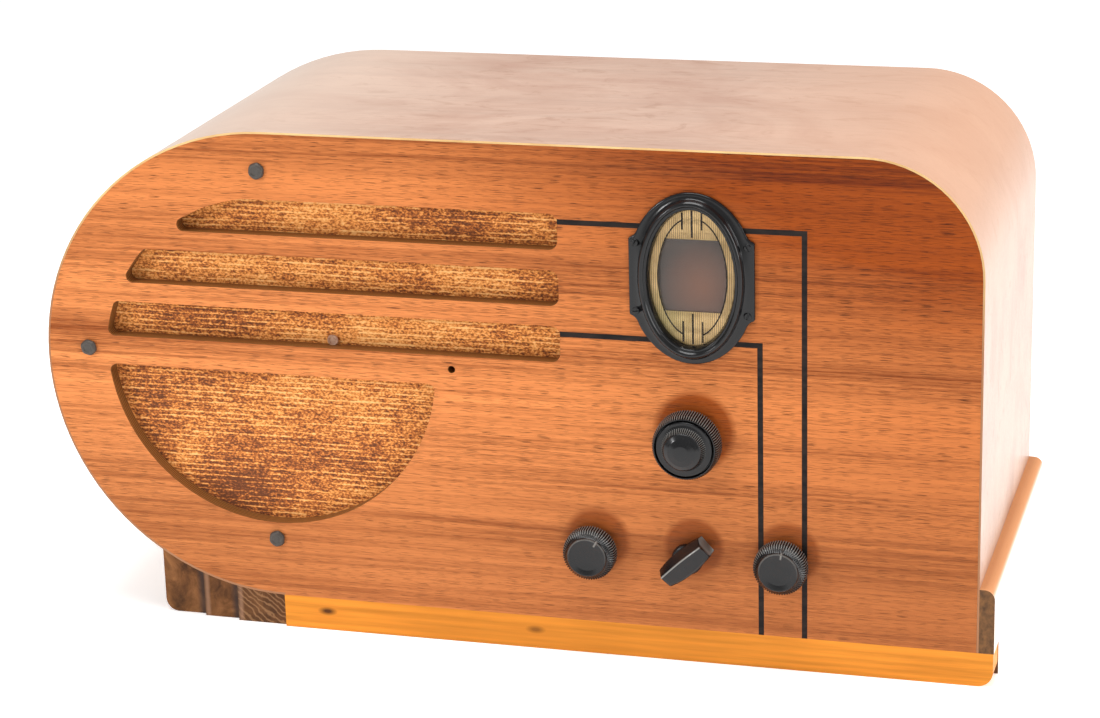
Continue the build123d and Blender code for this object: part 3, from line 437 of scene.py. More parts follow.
def wood(f, light, dark, grain, seed, pore_share, pore_colour=(0.10, 0.030, 0.010), cut=0.575):
    """Straight-grained wood.

    Broad noise gives bands of tone, noise stretched along the grain gives fibres, and finer
    stretched noise, cut at a threshold, gives long thin dark pores.  grain is the (x, y, z) scale
    that stretches a pattern along the grain.
    """

    def drawn_out(along, across):
        return [g * (along if g < 1 else across) for g in grain]

    bands = f.noise(drawn_out(16, 30), detail=5, rough=0.62, bend=0.3, shift=(seed, seed, seed))
    fibre = f.noise(drawn_out(80, 430), detail=6, rough=0.66, shift=(seed, 0, seed))
    fine = f.noise(drawn_out(1300, 1300), detail=3, rough=0.6, shift=(0, seed, 0))
    blend = f.plus(f.plus(f.times(bands, 0.48), f.times(fibre, 0.38)), f.times(fine, 0.14))
    base = f.ramp(
        blend,
        (0.385, dark),
        (0.455, blended(dark, light, 0.40)),
        (0.515, blended(dark, light, 0.74)),
        (0.60, light),
    )
    pore = f.noise(drawn_out(1800, 3500), detail=1, rough=0.5, shift=(seed * 2, 0, 3))
    patch = f.noise(drawn_out(60, 60), detail=3, shift=(7, seed, 1))
    pores = f.step(f.plus(pore, f.times(patch, 0.16)), cut + PORE_BLUR[0], cut + PORE_BLUR[1])
    return f.wash(base, pore_colour, pores, pore_share), pores, fibre, bands


def front_veneer(colours):
    """Oiled straight-grained veneer on the panel's face, with plain wood on its back and edges.

    Deeper colour along the top and at the right is old finish; round each knob it is old finish and
    painted shadow.
    """
    f = Finish("front veneer", roughness=0.46, Specular_IOR_Level=0.14)
    light, dark = tuple(colours.veneer_light), tuple(colours.veneer_dark)
    shade, pores, fibre, bands = wood(f, light, dark, ALONG_X, 1.7, 0.80, (0.085, 0.022, 0.005))
    x, _, z = f.axes(f.place)
    topness = f.step(z, SILL + 0.16, SILL + 0.283)
    rightness = f.step(x, -0.06, RIGHT - 0.03)
    deep = f.times(topness, f.plus(0.34, f.times(rightness, 0.72)))
    deep = f.plus(deep, f.times(rightness, 0.42))
    deep = f.times(deep, f.plus(0.55, f.times(bands, 0.9)), clamp=True)
    # round each knob, a little up and to the right, a deeper ring: old finish and a painted shadow of
    # the knob
    halos = {"fast_tuning_knob": 27, "volume_knob": 22, "tone_knob": 22, "band_switch_knob": 20}
    halo_shift = np.array([0.003, 0.0, 0.0062])
    for knob, reach in halos.items():
        spot = middle(knob) + halo_shift
        spot[1] = FACE
        ring = f.step(f.spot(spot, (reach * MM, 0.02, reach * MM)), 0.0, 0.24)
        deep = f.larger(deep, f.times(ring, f.plus(0.62, f.times(fibre, 0.6))))
    # deeper colour of the old finish, with a painted shadow round the knobs
    old_finish_and_shadow = (0.40, 0.22, 0.05)
    shade = f.mix(deep, shade, old_finish_and_shadow, "MULTIPLY")
    shade = f.wash(shade, (0.33, 0.108, 0.032), f.step(z, SILL + 0.13, SILL + 0.03), 0.45)
    _, face_y, _ = f.axes(f.normal())
    back = f.ramp(fibre, (0.35, (0.26, 0.15, 0.075)), (0.65, (0.42, 0.27, 0.14)))
    shade = f.mix(f.step(face_y, 0.5, 0.8), shade, back)
    wall = f.step(f.maths("ABSOLUTE", face_y), 0.75, 0.55)
    plies = f.bands(f.place, scale=170.0, bend=0.6, direction="Y")
    plies = f.ramp(plies, (0.3, (0.13, 0.048, 0.012)), (0.8, (0.34, 0.135, 0.036)))
    f.colour(f.mix(wall, shade, plies))
    f.bump(f.minus(f.times(fibre, 0.5), pores), 0.0003, 0.55)
    f.roughness(f.step(fibre, -0.5, 1.5))
    return f.material


def shell_veneer(colours):
    """Worn pale veneer outside, raw plywood inside, and a bright bare edge round the face."""
    f = Finish("shell veneer", roughness=0.40, Coat_Weight=0.30, Coat_Roughness=0.22)
    tan = tuple(colours.shell_tan)
    light, dark, pore = tint(tan, 1.12), tint(tan, 0.86), tint(tan, 0.45)
    shade, _, fibre, _ = wood(f, light, dark, ALONG_X, 5.1, 0.22, pore, 0.60)
    cloud = f.noise((8, 13, 10), detail=5, rough=0.62, bend=1.2)
    shade = f.wash(shade, (0.40, 0.215, 0.145), f.step(cloud, 0.44, 0.68), 0.8)
    figure = f.noise((26, 60, 40), detail=4, rough=0.7, bend=2.0, shift=(3, 1, 0))
    shade = f.wash(shade, (0.30, 0.14, 0.075), f.step(figure, 0.54, 0.66), 0.40)
    x, _, z = f.axes(f.place)
    # painted highlight: the shell's left end is lightened towards a pale tan
    shade = f.wash(shade, (0.66, 0.51, 0.41), f.step(x, LEFT + 0.24, LEFT + 0.10), 0.70)
    warm = f.times(f.step(x, 0.10, RIGHT - 0.03), f.step(z, SILL + 0.18, SILL + 0.26))
    shade = f.wash(shade, (0.60, 0.315, 0.185), warm, 0.7)
    # the shell's normal against the way from its nearest centre line tells outside from inside
    nx, ny, nz = f.axes(f.normal())
    near = f.larger(f.maths("MINIMUM", x, RIGHT - 0.068), LEFT + END_R)
    outward = f.plus(f.times(nx, f.minus(x, near)), f.times(nz, f.minus(z, SILL + END_R)))
    raw = f.noise((12, 160, 160), detail=5)
    raw = f.ramp(raw, (0.3, (0.34, 0.20, 0.10)), (0.7, (0.58, 0.38, 0.20)))
    shade = f.mix(f.step(outward, 0.001, -0.001), shade, raw)
    plies = f.noise((30, 30, 30), detail=3)
    plies = f.ramp(plies, (0.3, (0.58, 0.32, 0.10)), (0.7, (0.80, 0.54, 0.22)))
    stained = f.times(f.step(z, SILL + 0.25, SILL + 0.18), f.step(ny, -0.2, -0.6))
    plies = f.wash(plies, (0.30, 0.105, 0.028), stained, 0.92)
    f.colour(f.mix(f.step(f.maths("ABSOLUTE", ny), 0.55, 0.8), shade, plies))
    f.bump(f.plus(fibre, cloud), 0.00018, 0.35)
    return f.material


def board(name, light, dark, along, seed):
    """Plain raw board."""
    f = Finish(name, roughness=0.72)
    shade, _, fibre, _ = wood(f, light, dark, along, seed, 0.4)
    f.colour(shade)
    f.bump(fibre, 0.0003, 0.5)
    return f.material


def rail_pine(colours):
    """Orange sanded pine with wavy growth lines and two dark knots."""
    f = Finish("rail pine", roughness=0.40, Specular_IOR_Level=0.08)
    pine = tuple(colours.pine)
    lines = f.bands(f.scaled((0.6, 4, 7)), scale=9.0, bend=3.6, direction="Z", detail=4)
    fibre = f.noise((9, 230, 230), detail=5, rough=0.6)
    blend = f.plus(f.times(lines, 0.10), f.times(fibre, 0.90))
    shade = f.ramp(blend, (0.30, tint(pine, 0.66)), (0.5, tint(pine, 0.92)), (0.70, tint(pine, 1.16)))
    for across, height in ((171.0, -8.5), (302.0, -8.8)):
        knot = f.spot(at(across, 0, height), (0.0075, 0.02, 0.0032))
        halo = f.spot(at(across, 0, height), (0.022, 0.03, 0.006))
        shade = f.wash(shade, (0.50, 0.17, 0.02), halo, 0.35)
        shade = f.mix(f.step(knot, 0.1, 0.75), shade, (0.075, 0.028, 0.010))
    x, _, _ = f.axes(f.place)
    # darker along the middle of the rail, lighter towards both ends
    darker_middle = f.times(f.step(x, LEFT + 0.16, LEFT + 0.24), f.step(x, RIGHT - 0.05, RIGHT - 0.16))
    f.colour(f.wash(shade, tint(pine, 0.62), darker_middle, 0.45))
    f.bump(fibre, 0.0002, 0.4)
    return f.material


def trim_wood():
    """Pale sanded moulding at the right side, brown on its end grain, browner on top, and its outward
    face paler still as a painted highlight.
    """
    f = Finish("trim wood", roughness=0.45, Specular_IOR_Level=0.3)
    shade, _, fibre, _ = wood(f, (0.78, 0.46, 0.27), (0.60, 0.32, 0.17), ALONG_Y, 3.3, 0.25)
    nx, ny, nz = f.axes(f.normal())
    # painted highlight: faces turned outwards to the right are made much paler
    shade = f.wash(shade, (0.92, 0.84, 0.78), f.step(nx, 0.80, 0.97), 0.75)
    shade = f.wash(shade, (0.66, 0.27, 0.10), f.step(nz, 0.2, 0.7), 0.85)
    end = f.noise((300, 30, 220), detail=4)
    end = f.ramp(end, (0.3, (0.065, 0.026, 0.006)), (0.7, (0.20, 0.086, 0.022)))
    f.colour(f.mix(f.step(ny, -0.5, -0.8), shade, end))
    f.bump(fibre, 0.0002, 0.4)
    return f.material


def stained_block():
    """Dark stained end grain with slanting saw marks on the inner stick."""
    f = Finish("stained block", roughness=0.62, Specular_IOR_Level=0.12)
    cloud = f.noise((70, 70, 60), detail=5, rough=0.65, bend=0.6)
    shade = f.ramp(
        cloud, (0.30, (0.040, 0.018, 0.008)), (0.50, (0.15, 0.060, 0.020)), (0.72, (0.29, 0.125, 0.045))
    )
    x, _, _ = f.axes(f.place)
    saw_lines = f.scaled((1, 1, 1), turn=(0, 0.9, 0))
    marks = f.bands(saw_lines, scale=95.0, bend=9.0, direction="X", detail=4)
    joint = high("left_foot_middle")[0]
    inner = f.step(x, joint - 0.0005, joint + 0.0005)
    shade = f.wash(shade, (0.085, 0.038, 0.018), inner, 0.5)
    scratch = f.times(f.step(marks, 0.62, 0.92), f.times(inner, 0.45))
    shade = f.mix(scratch, shade, (0.42, 0.22, 0.10))
    for stick in ("left_foot_outer", "left_foot_middle"):
        seam = high(stick)[0]
        bright = f.step(f.gap(x, seam + 0.0018), 0.0022, 0.0006)
        shade = f.wash(shade, (0.36, 0.20, 0.12), bright, 0.55)
        shadow = f.step(f.gap(x, seam - 0.0022), 0.004, 0.0005)
        shade = f.wash(shade, (0.035, 0.028, 0.028), shadow, 0.75)
    f.colour(shade)
    f.bump(f.plus(cloud, scratch), 0.0006, 0.6)
    return f.material


def inlay_black():
    """Ebonised strip, worn grey-brown in places."""
    f = Finish("inlay black", roughness=0.55, Specular_IOR_Level=0.15)
    wear = f.noise((60, 60, 240), detail=5)
    f.colour(f.ramp(wear, (0.35, (0.006, 0.005, 0.005)), (0.80, (0.032, 0.020, 0.015))))
    f.bump(wear, 0.0002, 0.4)
    return f.material


# Stains on the cloth: middle across and up, half width and half height in mm, and how dark.
STAINS = (
    (112, 62, 46, 24, 0.24),
    (150, 88, 48, 19, 0.13),
    (205, 82, 44, 17, 0.12),
    (62, 104, 26, 40, 0.16),
    (250, 238, 60, 18, 0.12),
    (95, 172, 60, 14, 0.14),
)


def grille_cloth(colours):
    """Nubby gold cloth: short level flecks of light and brown thread, light rows, broad stains."""
    f = Finish("grille cloth", roughness=0.9, Sheen_Weight=0.15, Sheen_Roughness=0.5)
    gold, brown = tuple(colours.cloth_gold), tuple(colours.cloth_brown)
    turns_per_metre = FULL_TURN / bpy.context.scene.radio_sizes.thread_pitch
    wobble = f.noise((9, 9, 22), detail=3)
    _, _, z = f.axes(f.place)
    row = f.maths("SINE", f.times(f.plus(z, f.times(wobble, 0.0042)), turns_per_metre))
    lit = f.noise((30, 30, 300), detail=3, rough=0.6, shift=(0, 0, 4))
    lit = f.times(f.step(row, 0.35, 0.95), f.step(lit, 0.38, 0.56))
    fleck = f.noise((560, 560, 900), detail=2, rough=0.6)
    coarse = f.noise((150, 150, 420), detail=3, rough=0.65)
    stain = f.noise((17, 17, 24), detail=6, rough=0.68, shift=(2.2, 0, 0.7))
    tone = f.plus(f.times(fleck, 0.62), f.times(coarse, 0.38))
    tone = f.plus(tone, f.times(lit, 0.15))
    tone = f.plus(tone, f.times(f.minus(stain, 0.5), 0.42))
    for across, height, wide, tall, dark in STAINS:
        patch = f.spot(at(across, 10, height), (wide * MM, 0.03, tall * MM))
        tone = f.minus(tone, f.times(f.step(patch, 0.0, 0.6), f.times(stain, dark)))
    f.colour(
        f.ramp(
            tone,
            (0.37, tint(brown, 0.5)),
            (0.42, brown),
            (0.475, (0.46, 0.125, 0.018)),
            (0.56, gold),
            (0.70, (1.0, 0.56, 0.20)),
        )
    )
    f.bump(f.plus(fleck, f.times(row, 0.12)), 0.0006, 0.8)
    return f.material


def moulded(name, colour, roughness=0.16, worn=None, grey=(0.24, 0.225, 0.205)):
    """Moulded phenolic with a faint mottle and dust.

    worn(finish) gives, where it is stated, a share from 0 to 1 that turns the surface to the grey, for
    wear and for painted highlights on the knobs.
    """
    f = Finish(name, roughness=roughness, Specular_IOR_Level=0.34)
    mottle = f.noise((160, 160, 160), detail=5, rough=0.6)
    dust = f.step(f.noise((900, 900, 900), detail=2), 0.60, 0.80)
    shade = f.ramp(mottle, (0.3, tint(colour, 0.75)), (0.7, tint(colour, 1.35)))
    shade = f.wash(shade, (0.20, 0.18, 0.15), dust, 0.03)
    if worn:
        shade = f.mix(worn(f), shade, grey)
    f.colour(shade)
    f.roughness(f.ramp(mottle, (0.3, roughness * 0.85), (0.75, min(1.0, roughness * 1.35))))
    f.bump(mottle, 0.00003, 0.10)
    return f.material


def flute_wear_and_highlight(node, count, inner, outer, aim):
    """Grey on a knob's flutes and, where aim is stated, along its pointer and on its front rim.

    A flute's crest is where cos(count * angle) is near 1 between the inner and outer radius, greyed
    only where it faces up: wear and painted highlight.  The pointer is a narrow line along aim, and
    the rim a thin ring of the stated radius, greyed on its upper part only as a painted highlight.
    """
    axis = middle(node)
    line_start, line_end, rim_radius = 0.0078, 0.0126, 0.0112

    def share(f):
        x, _, z = f.about(axis)
        angle, radius = f.polar(x, z)
        crest = f.step(f.maths("COSINE", f.times(angle, float(count))), 0.25, 0.85)
        _, _, nz = f.axes(f.normal())
        ring = f.inside(radius, inner, outer, 0.0006, 0.0004)
        # only crests that face up are greyed: wear and painted highlight
        flutes = f.times(f.times(crest, ring), f.times(f.step(nz, -0.2, 0.6), 0.75))
        if aim is None:
            return flutes
        cos, sin = math.cos(aim), math.sin(aim)
        beside = f.maths("ABSOLUTE", f.minus(f.times(x, sin), f.times(z, cos)))
        along = f.plus(f.times(x, cos), f.times(z, sin))
        line = f.inside(along, line_start, line_end, 0.0006, 0.0006)
        line = f.times(f.step(beside, 0.0007, 0.0003), line)
        rim = f.times(f.step(f.gap(radius, rim_radius), 0.0006, 0.0002), 0.35)
        # painted highlight: the rim is greyed on its upper part only
        rim = f.times(rim, f.step(z, -0.004, 0.009))
        return f.larger(flutes, f.larger(f.times(line, 0.7), rim))

    return share


def metal(name, colour, roughness, metallic=1.0, grime=0.3, grime_colour=(0.10, 0.07, 0.045)):
    """Metal with a fine mottle and grime in patches."""
    f = Finish(name, roughness=roughness, metallic=metallic)
    mottle = f.noise((260, 260, 260), detail=4, rough=0.6)
    cloud = f.noise((24, 24, 24), detail=5, rough=0.6)
    shade = f.ramp(mottle, (0.3, tint(colour, 0.82)), (0.7, tint(colour, 1.12)))
    f.colour(f.wash(shade, grime_colour, f.step(cloud, 0.52, 0.75), grime))
    f.roughness(f.ramp(cloud, (0.3, roughness * 0.85), (0.75, min(1.0, roughness * 1.5))))
    f.bump(mottle, 0.00012, 0.4)
    return f.material


def clear(name, colour, alpha, roughness=0.06):
    """Thin clear sheet: mostly see-through, with gloss and light clouding."""
    f = Finish(name, Alpha=alpha, IOR=1.5)
    haze = f.noise((60, 60, 60), detail=4)
    f.colour(f.ramp(haze, (0.3, tint(colour, 0.85)), (0.7, colour)))
    f.roughness(f.ramp(haze, (0.3, roughness), (0.8, roughness * 2.5)))
    return f.material


def gilt_mask():
    """Gilt printed sheet with fine upright hairlines, greener and dirtier low at the left."""
    f = Finish("gilt mask", roughness=0.42, metallic=0.35)
    hairline_pitch = 0.0011
    x, _, _ = f.axes(f.place)
    line = f.maths("SINE", f.times(x, FULL_TURN / hairline_pitch))
    age = f.noise((120, 120, 120), detail=5)
    shade = f.ramp(age, (0.3, (0.46, 0.30, 0.115)), (0.7, (0.70, 0.48, 0.22)))
    shade = f.mix(f.step(line, 0.35, 0.9), shade, (0.15, 0.095, 0.035))
    low_left = f.spot(DIAL + np.array([-0.017, 0, -0.026]), (0.02, 0.03, 0.022))
    f.colour(f.wash(shade, (0.17, 0.18, 0.05), low_left, 0.55))
    f.bump(line, 0.00005, 0.4)
    return f.material


def aged_film():
    """Brown aged celluloid behind the mask, redder near its middle, with faint level lines."""
    f = Finish("aged film", roughness=0.34, Specular_IOR_Level=0.3)
    red = f.spot(DIAL + np.array([0.005, 0, -0.005]), (0.024, 0.05, 0.028))
    weave = f.noise((12, 12, 420), detail=2)
    shade = f.ramp(weave, (0.3, (0.042, 0.033, 0.031)), (0.7, (0.066, 0.049, 0.043)))
    f.colour(f.wash(shade, (0.175, 0.074, 0.045), red, 0.9))
    return f.material


def celluloid_disc(marks):
    """Cream celluloid dial disc with a ring of short brown marks, evenly spaced near its rim."""
    f = Finish("celluloid disc", roughness=0.35)
    ring_inner, ring_outer = 0.0475, 0.0545
    cream = f.noise((40, 40, 40), detail=4)
    cream = f.ramp(cream, (0.3, (0.50, 0.36, 0.20)), (0.7, (0.66, 0.50, 0.30)))
    x, _, z = f.about(middle("dial_disc"))
    angle, radius = f.polar(x, z)
    mark = f.step(f.maths("COSINE", f.times(angle, float(marks))), 0.86, 0.93)
    ring = f.inside(radius, ring_inner, ring_outer, 0.0005, 0.0005)
    f.colour(f.mix(f.times(mark, ring), cream, (0.16, 0.07, 0.03)))
    return f.material


def plain(name, one, two, scale, roughness):
    """Two close colours mixed by noise, with a matching grain in relief."""
    f = Finish(name)
    grain = f.noise((scale, scale, scale), detail=5, rough=0.6)
    f.colour(f.ramp(grain, (0.32, one), (0.68, two)))
    f.roughness(f.ramp(grain, (0.3, roughness * 0.9), (0.7, min(1.0, roughness * 1.15))))
    f.bump(grain, 0.0003, 0.5)
    return f.material


def tube_glass():
    """Clear envelope, silvered by its getter near the top and grey lower down."""
    f = Finish("tube glass", roughness=0.05, IOR=1.48)
    _, _, z = f.axes(f.place)
    top = high("tube_envelopes")[2]
    getter = f.step(z, top - 0.026, top - 0.006)
    grey = f.noise((70, 70, 70), detail=3)
    grey = f.ramp(grey, (0.3, (0.52, 0.54, 0.55)), (0.7, (0.70, 0.72, 0.73)))
    f.colour(f.mix(getter, grey, (0.42, 0.42, 0.44)))
    f.set("Alpha", f.plus(f.times(getter, 0.62), 0.20))
    f.set("Metallic", f.times(getter, 0.9))
    return f.material


def finishes(colours):
    """Every slot's material, by the slot's name."""
    sizes, _ = settings()
    made = {
        "front_veneer": front_veneer(colours),
        "shell_veneer": shell_veneer(colours),
        "case_board": board("case board", (0.50, 0.35, 0.20), (0.30, 0.19, 0.10), ALONG_X, 7.7),
        "raw_pine": rail_pine(colours),
        "trim_wood": trim_wood(),
        "stained_block": stained_block(),
        "inlay_black": inlay_black(),
        "grille_cloth": grille_cloth(colours),
        "moulded_black": moulded("moulded black", tuple(colours.moulding)),
        "tube_base_brown": moulded("tube base brown", (0.085, 0.030, 0.018), 0.28),
        "clear_window": clear("clear window", (0.55, 0.50, 0.42), 0.03, 0.3),
        "lamp_glass": clear("lamp glass", (0.95, 0.90, 0.80), 0.40),
        "gilt_mask": gilt_mask(),
        "celluloid": celluloid_disc(sizes.dial_marks),
        "tube_glass": tube_glass(),
    }
    soot = (0.05, 0.035, 0.025)
    for slot, *look in (
        ("dark_steel", (0.075, 0.066, 0.058), 0.42, 0.45, 0.5, soot),
        ("zinc_steel", (0.52, 0.52, 0.50), 0.42, 0.9),
        ("brass", (0.66, 0.47, 0.19), 0.33, 1.0),
        ("aluminium", (0.66, 0.66, 0.66), 0.40, 0.95, 0.25),
        ("bright_steel", (0.62, 0.62, 0.63), 0.28, 1.0),
        ("chassis_steel", (0.50, 0.49, 0.45), 0.50, 0.85, 0.45),
    ):
        made[slot] = metal(slot.replace("_", " "), *look)
    for slot, *look in (
        ("wafer_board", (0.20, 0.11, 0.055), (0.30, 0.17, 0.085), 220, 0.6),
        ("cone_felt", (0.22, 0.18, 0.15), (0.36, 0.31, 0.26), 800, 0.95),
        ("grey_paint", (0.10, 0.105, 0.105), (0.19, 0.20, 0.20), 420, 0.55),
        ("cone_paper", (0.085, 0.072, 0.062), (0.15, 0.13, 0.11), 500, 0.92),
        ("coil_winding", (0.24, 0.09, 0.035), (0.36, 0.15, 0.06), 300, 0.4),
        ("core_steel", (0.035, 0.035, 0.036), (0.075, 0.072, 0.07), 90, 0.48),
        ("rubber", (0.045, 0.04, 0.036), (0.08, 0.072, 0.066), 300, 0.85),
    ):
        made[slot] = plain(slot.replace("_", " "), *look)
    return made


FINISHES = {}  # by slot, filled by the first operator
EXTRA = {}  # finishes of added pieces that share a slot with another finish


def settings():
    """The scene's sizes and colours."""
    scene = bpy.context.scene
    return scene.radio_sizes, scene.radio_colours


# ------------------------------------------------------------------ operators


class RADIO_OT_finishes(bpy.types.Operator):
    """Give every carried-over node its finish"""

    bl_idname = "radio.finishes"
    bl_label = "Finishes"

    def execute(self, context):
        _, colours = settings()
        FINISHES.update(finishes(colours))
        EXTRA["aged_film"] = aged_film()
        EXTRA["dull_tack"] = plain("dull tack", (0.34, 0.15, 0.080), (0.56, 0.36, 0.25), 500, 0.30)
        EXTRA["plate_black"] = plain("plate black", (0.02, 0.02, 0.02), (0.05, 0.05, 0.05), 300, 0.6)
        EXTRA["mica"] = plain("mica", (0.55, 0.52, 0.44), (0.72, 0.69, 0.60), 200, 0.4)
        for part in frame["record"]["subparts"]:
            node = frame["nodes"][part["node"]]
            material = FINISHES[part["material_slot"]]
            if not node.material_slots:
                node.data.materials.append(material)
            for holder in node.material_slots:
                holder.material = material
        return {"FINISHED"}


class RADIO_OT_cloth(bpy.types.Operator):
    """Stretch the nubby grille cloth behind the panel"""

    bl_idname = "radio.cloth"
    bl_label = "Grille cloth"

    rows, columns = 300, 258
    slub_cells = 3  # a thick or thin place in the thread covers this many rows and columns
    slub_seed = 36
    slub_height = 0.00005
    clearance = 0.00003  # kept between the weave and the faces it lies between
    tack_outline = [
        (9.0, 0.0), (9.0, 2.2), (8.6, 3.2), (7.8, 3.5), (7.2, 3.1), (7.3, 2.5), (7.9, 1.8), (8.0, 0.0)
    ]

    def execute(self, context):
        sizes, _ = settings()
        lo, hi = low("grille_cloth"), high("grille_cloth")
        centre = middle("speaker_surround")
        radius = centre[0] - lo[0]
        x, z = self.outline(lo, hi, centre, radius)
        drift = 0.4 * np.sin(x * 41 + 1.3) + 0.3 * np.sin(x * 97)
        thread = np.sin(FULL_TURN * z / sizes.thread_pitch + drift)
        y = PANEL_BACK + 0.0004 - sizes.thread_relief * thread * 0.5 - self.slub_height * self.slub()
        y = np.clip(y, PANEL_BACK + self.clearance, hi[1] - self.clearance)
        obj = piece(
            "grille_cloth_weave",
            [level_sheet(x, y, z)],
            "cabinet",
            FINISHES["grille_cloth"],
            towards=(0, -1, 0),
            merge=0,
        )
        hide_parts("grille_cloth")
        self.tack()
        return {"FINISHED"}

    def outline(self, lo, hi, centre, radius):
        """Points across and up the cloth, round at its left and round or upright at its right.

        A row's height goes evenly up the cloth; at each height a half circle gives the left edge,
        and the right edge is straight between the two short round corners.
        """
        v = np.linspace(0, 1, self.rows)[:, None]
        u = np.linspace(0, 1, self.columns)[None, :]
        z = centre[2] + (2 * v - 1) * radius + 0 * u
        z = np.clip(z, centre[2] - radius * 0.99999, centre[2] + radius * 0.99999)
        bow = np.sqrt(np.clip(radius**2 - (z - centre[2]) ** 2, 0, None))
        upright = (z < hi[2] - 0.0058) & (z > lo[2] + 0.0085)
        right = np.where(upright, hi[0], centre[0] + bow)
        return centre[0] - bow + u * (right - centre[0] + bow), z

    def slub(self):
        """Random thickness of the thread, the same over each small block and softened at its edges."""
        rng = np.random.default_rng(self.slub_seed)
        cells = self.slub_cells
        knots = rng.normal(size=(self.rows // cells + 2, self.columns // cells + 2))
        slub = np.kron(knots, np.ones((cells, cells)))[: self.rows, : self.columns]
        return (slub + np.roll(slub, 1, 0) + np.roll(slub, 1, 1) + np.roll(slub, 1, (0, 1))) / 4

    def tack(self):
        """Tack with a domed, dished head that shows through the cloth."""
        grid = turned(at(180.2, 9, 161.9), rounded(self.tack_outline, 0.3), 40)
        piece("cloth_tack", [(grid, True, False)], "cabinet", EXTRA["dull_tack"])


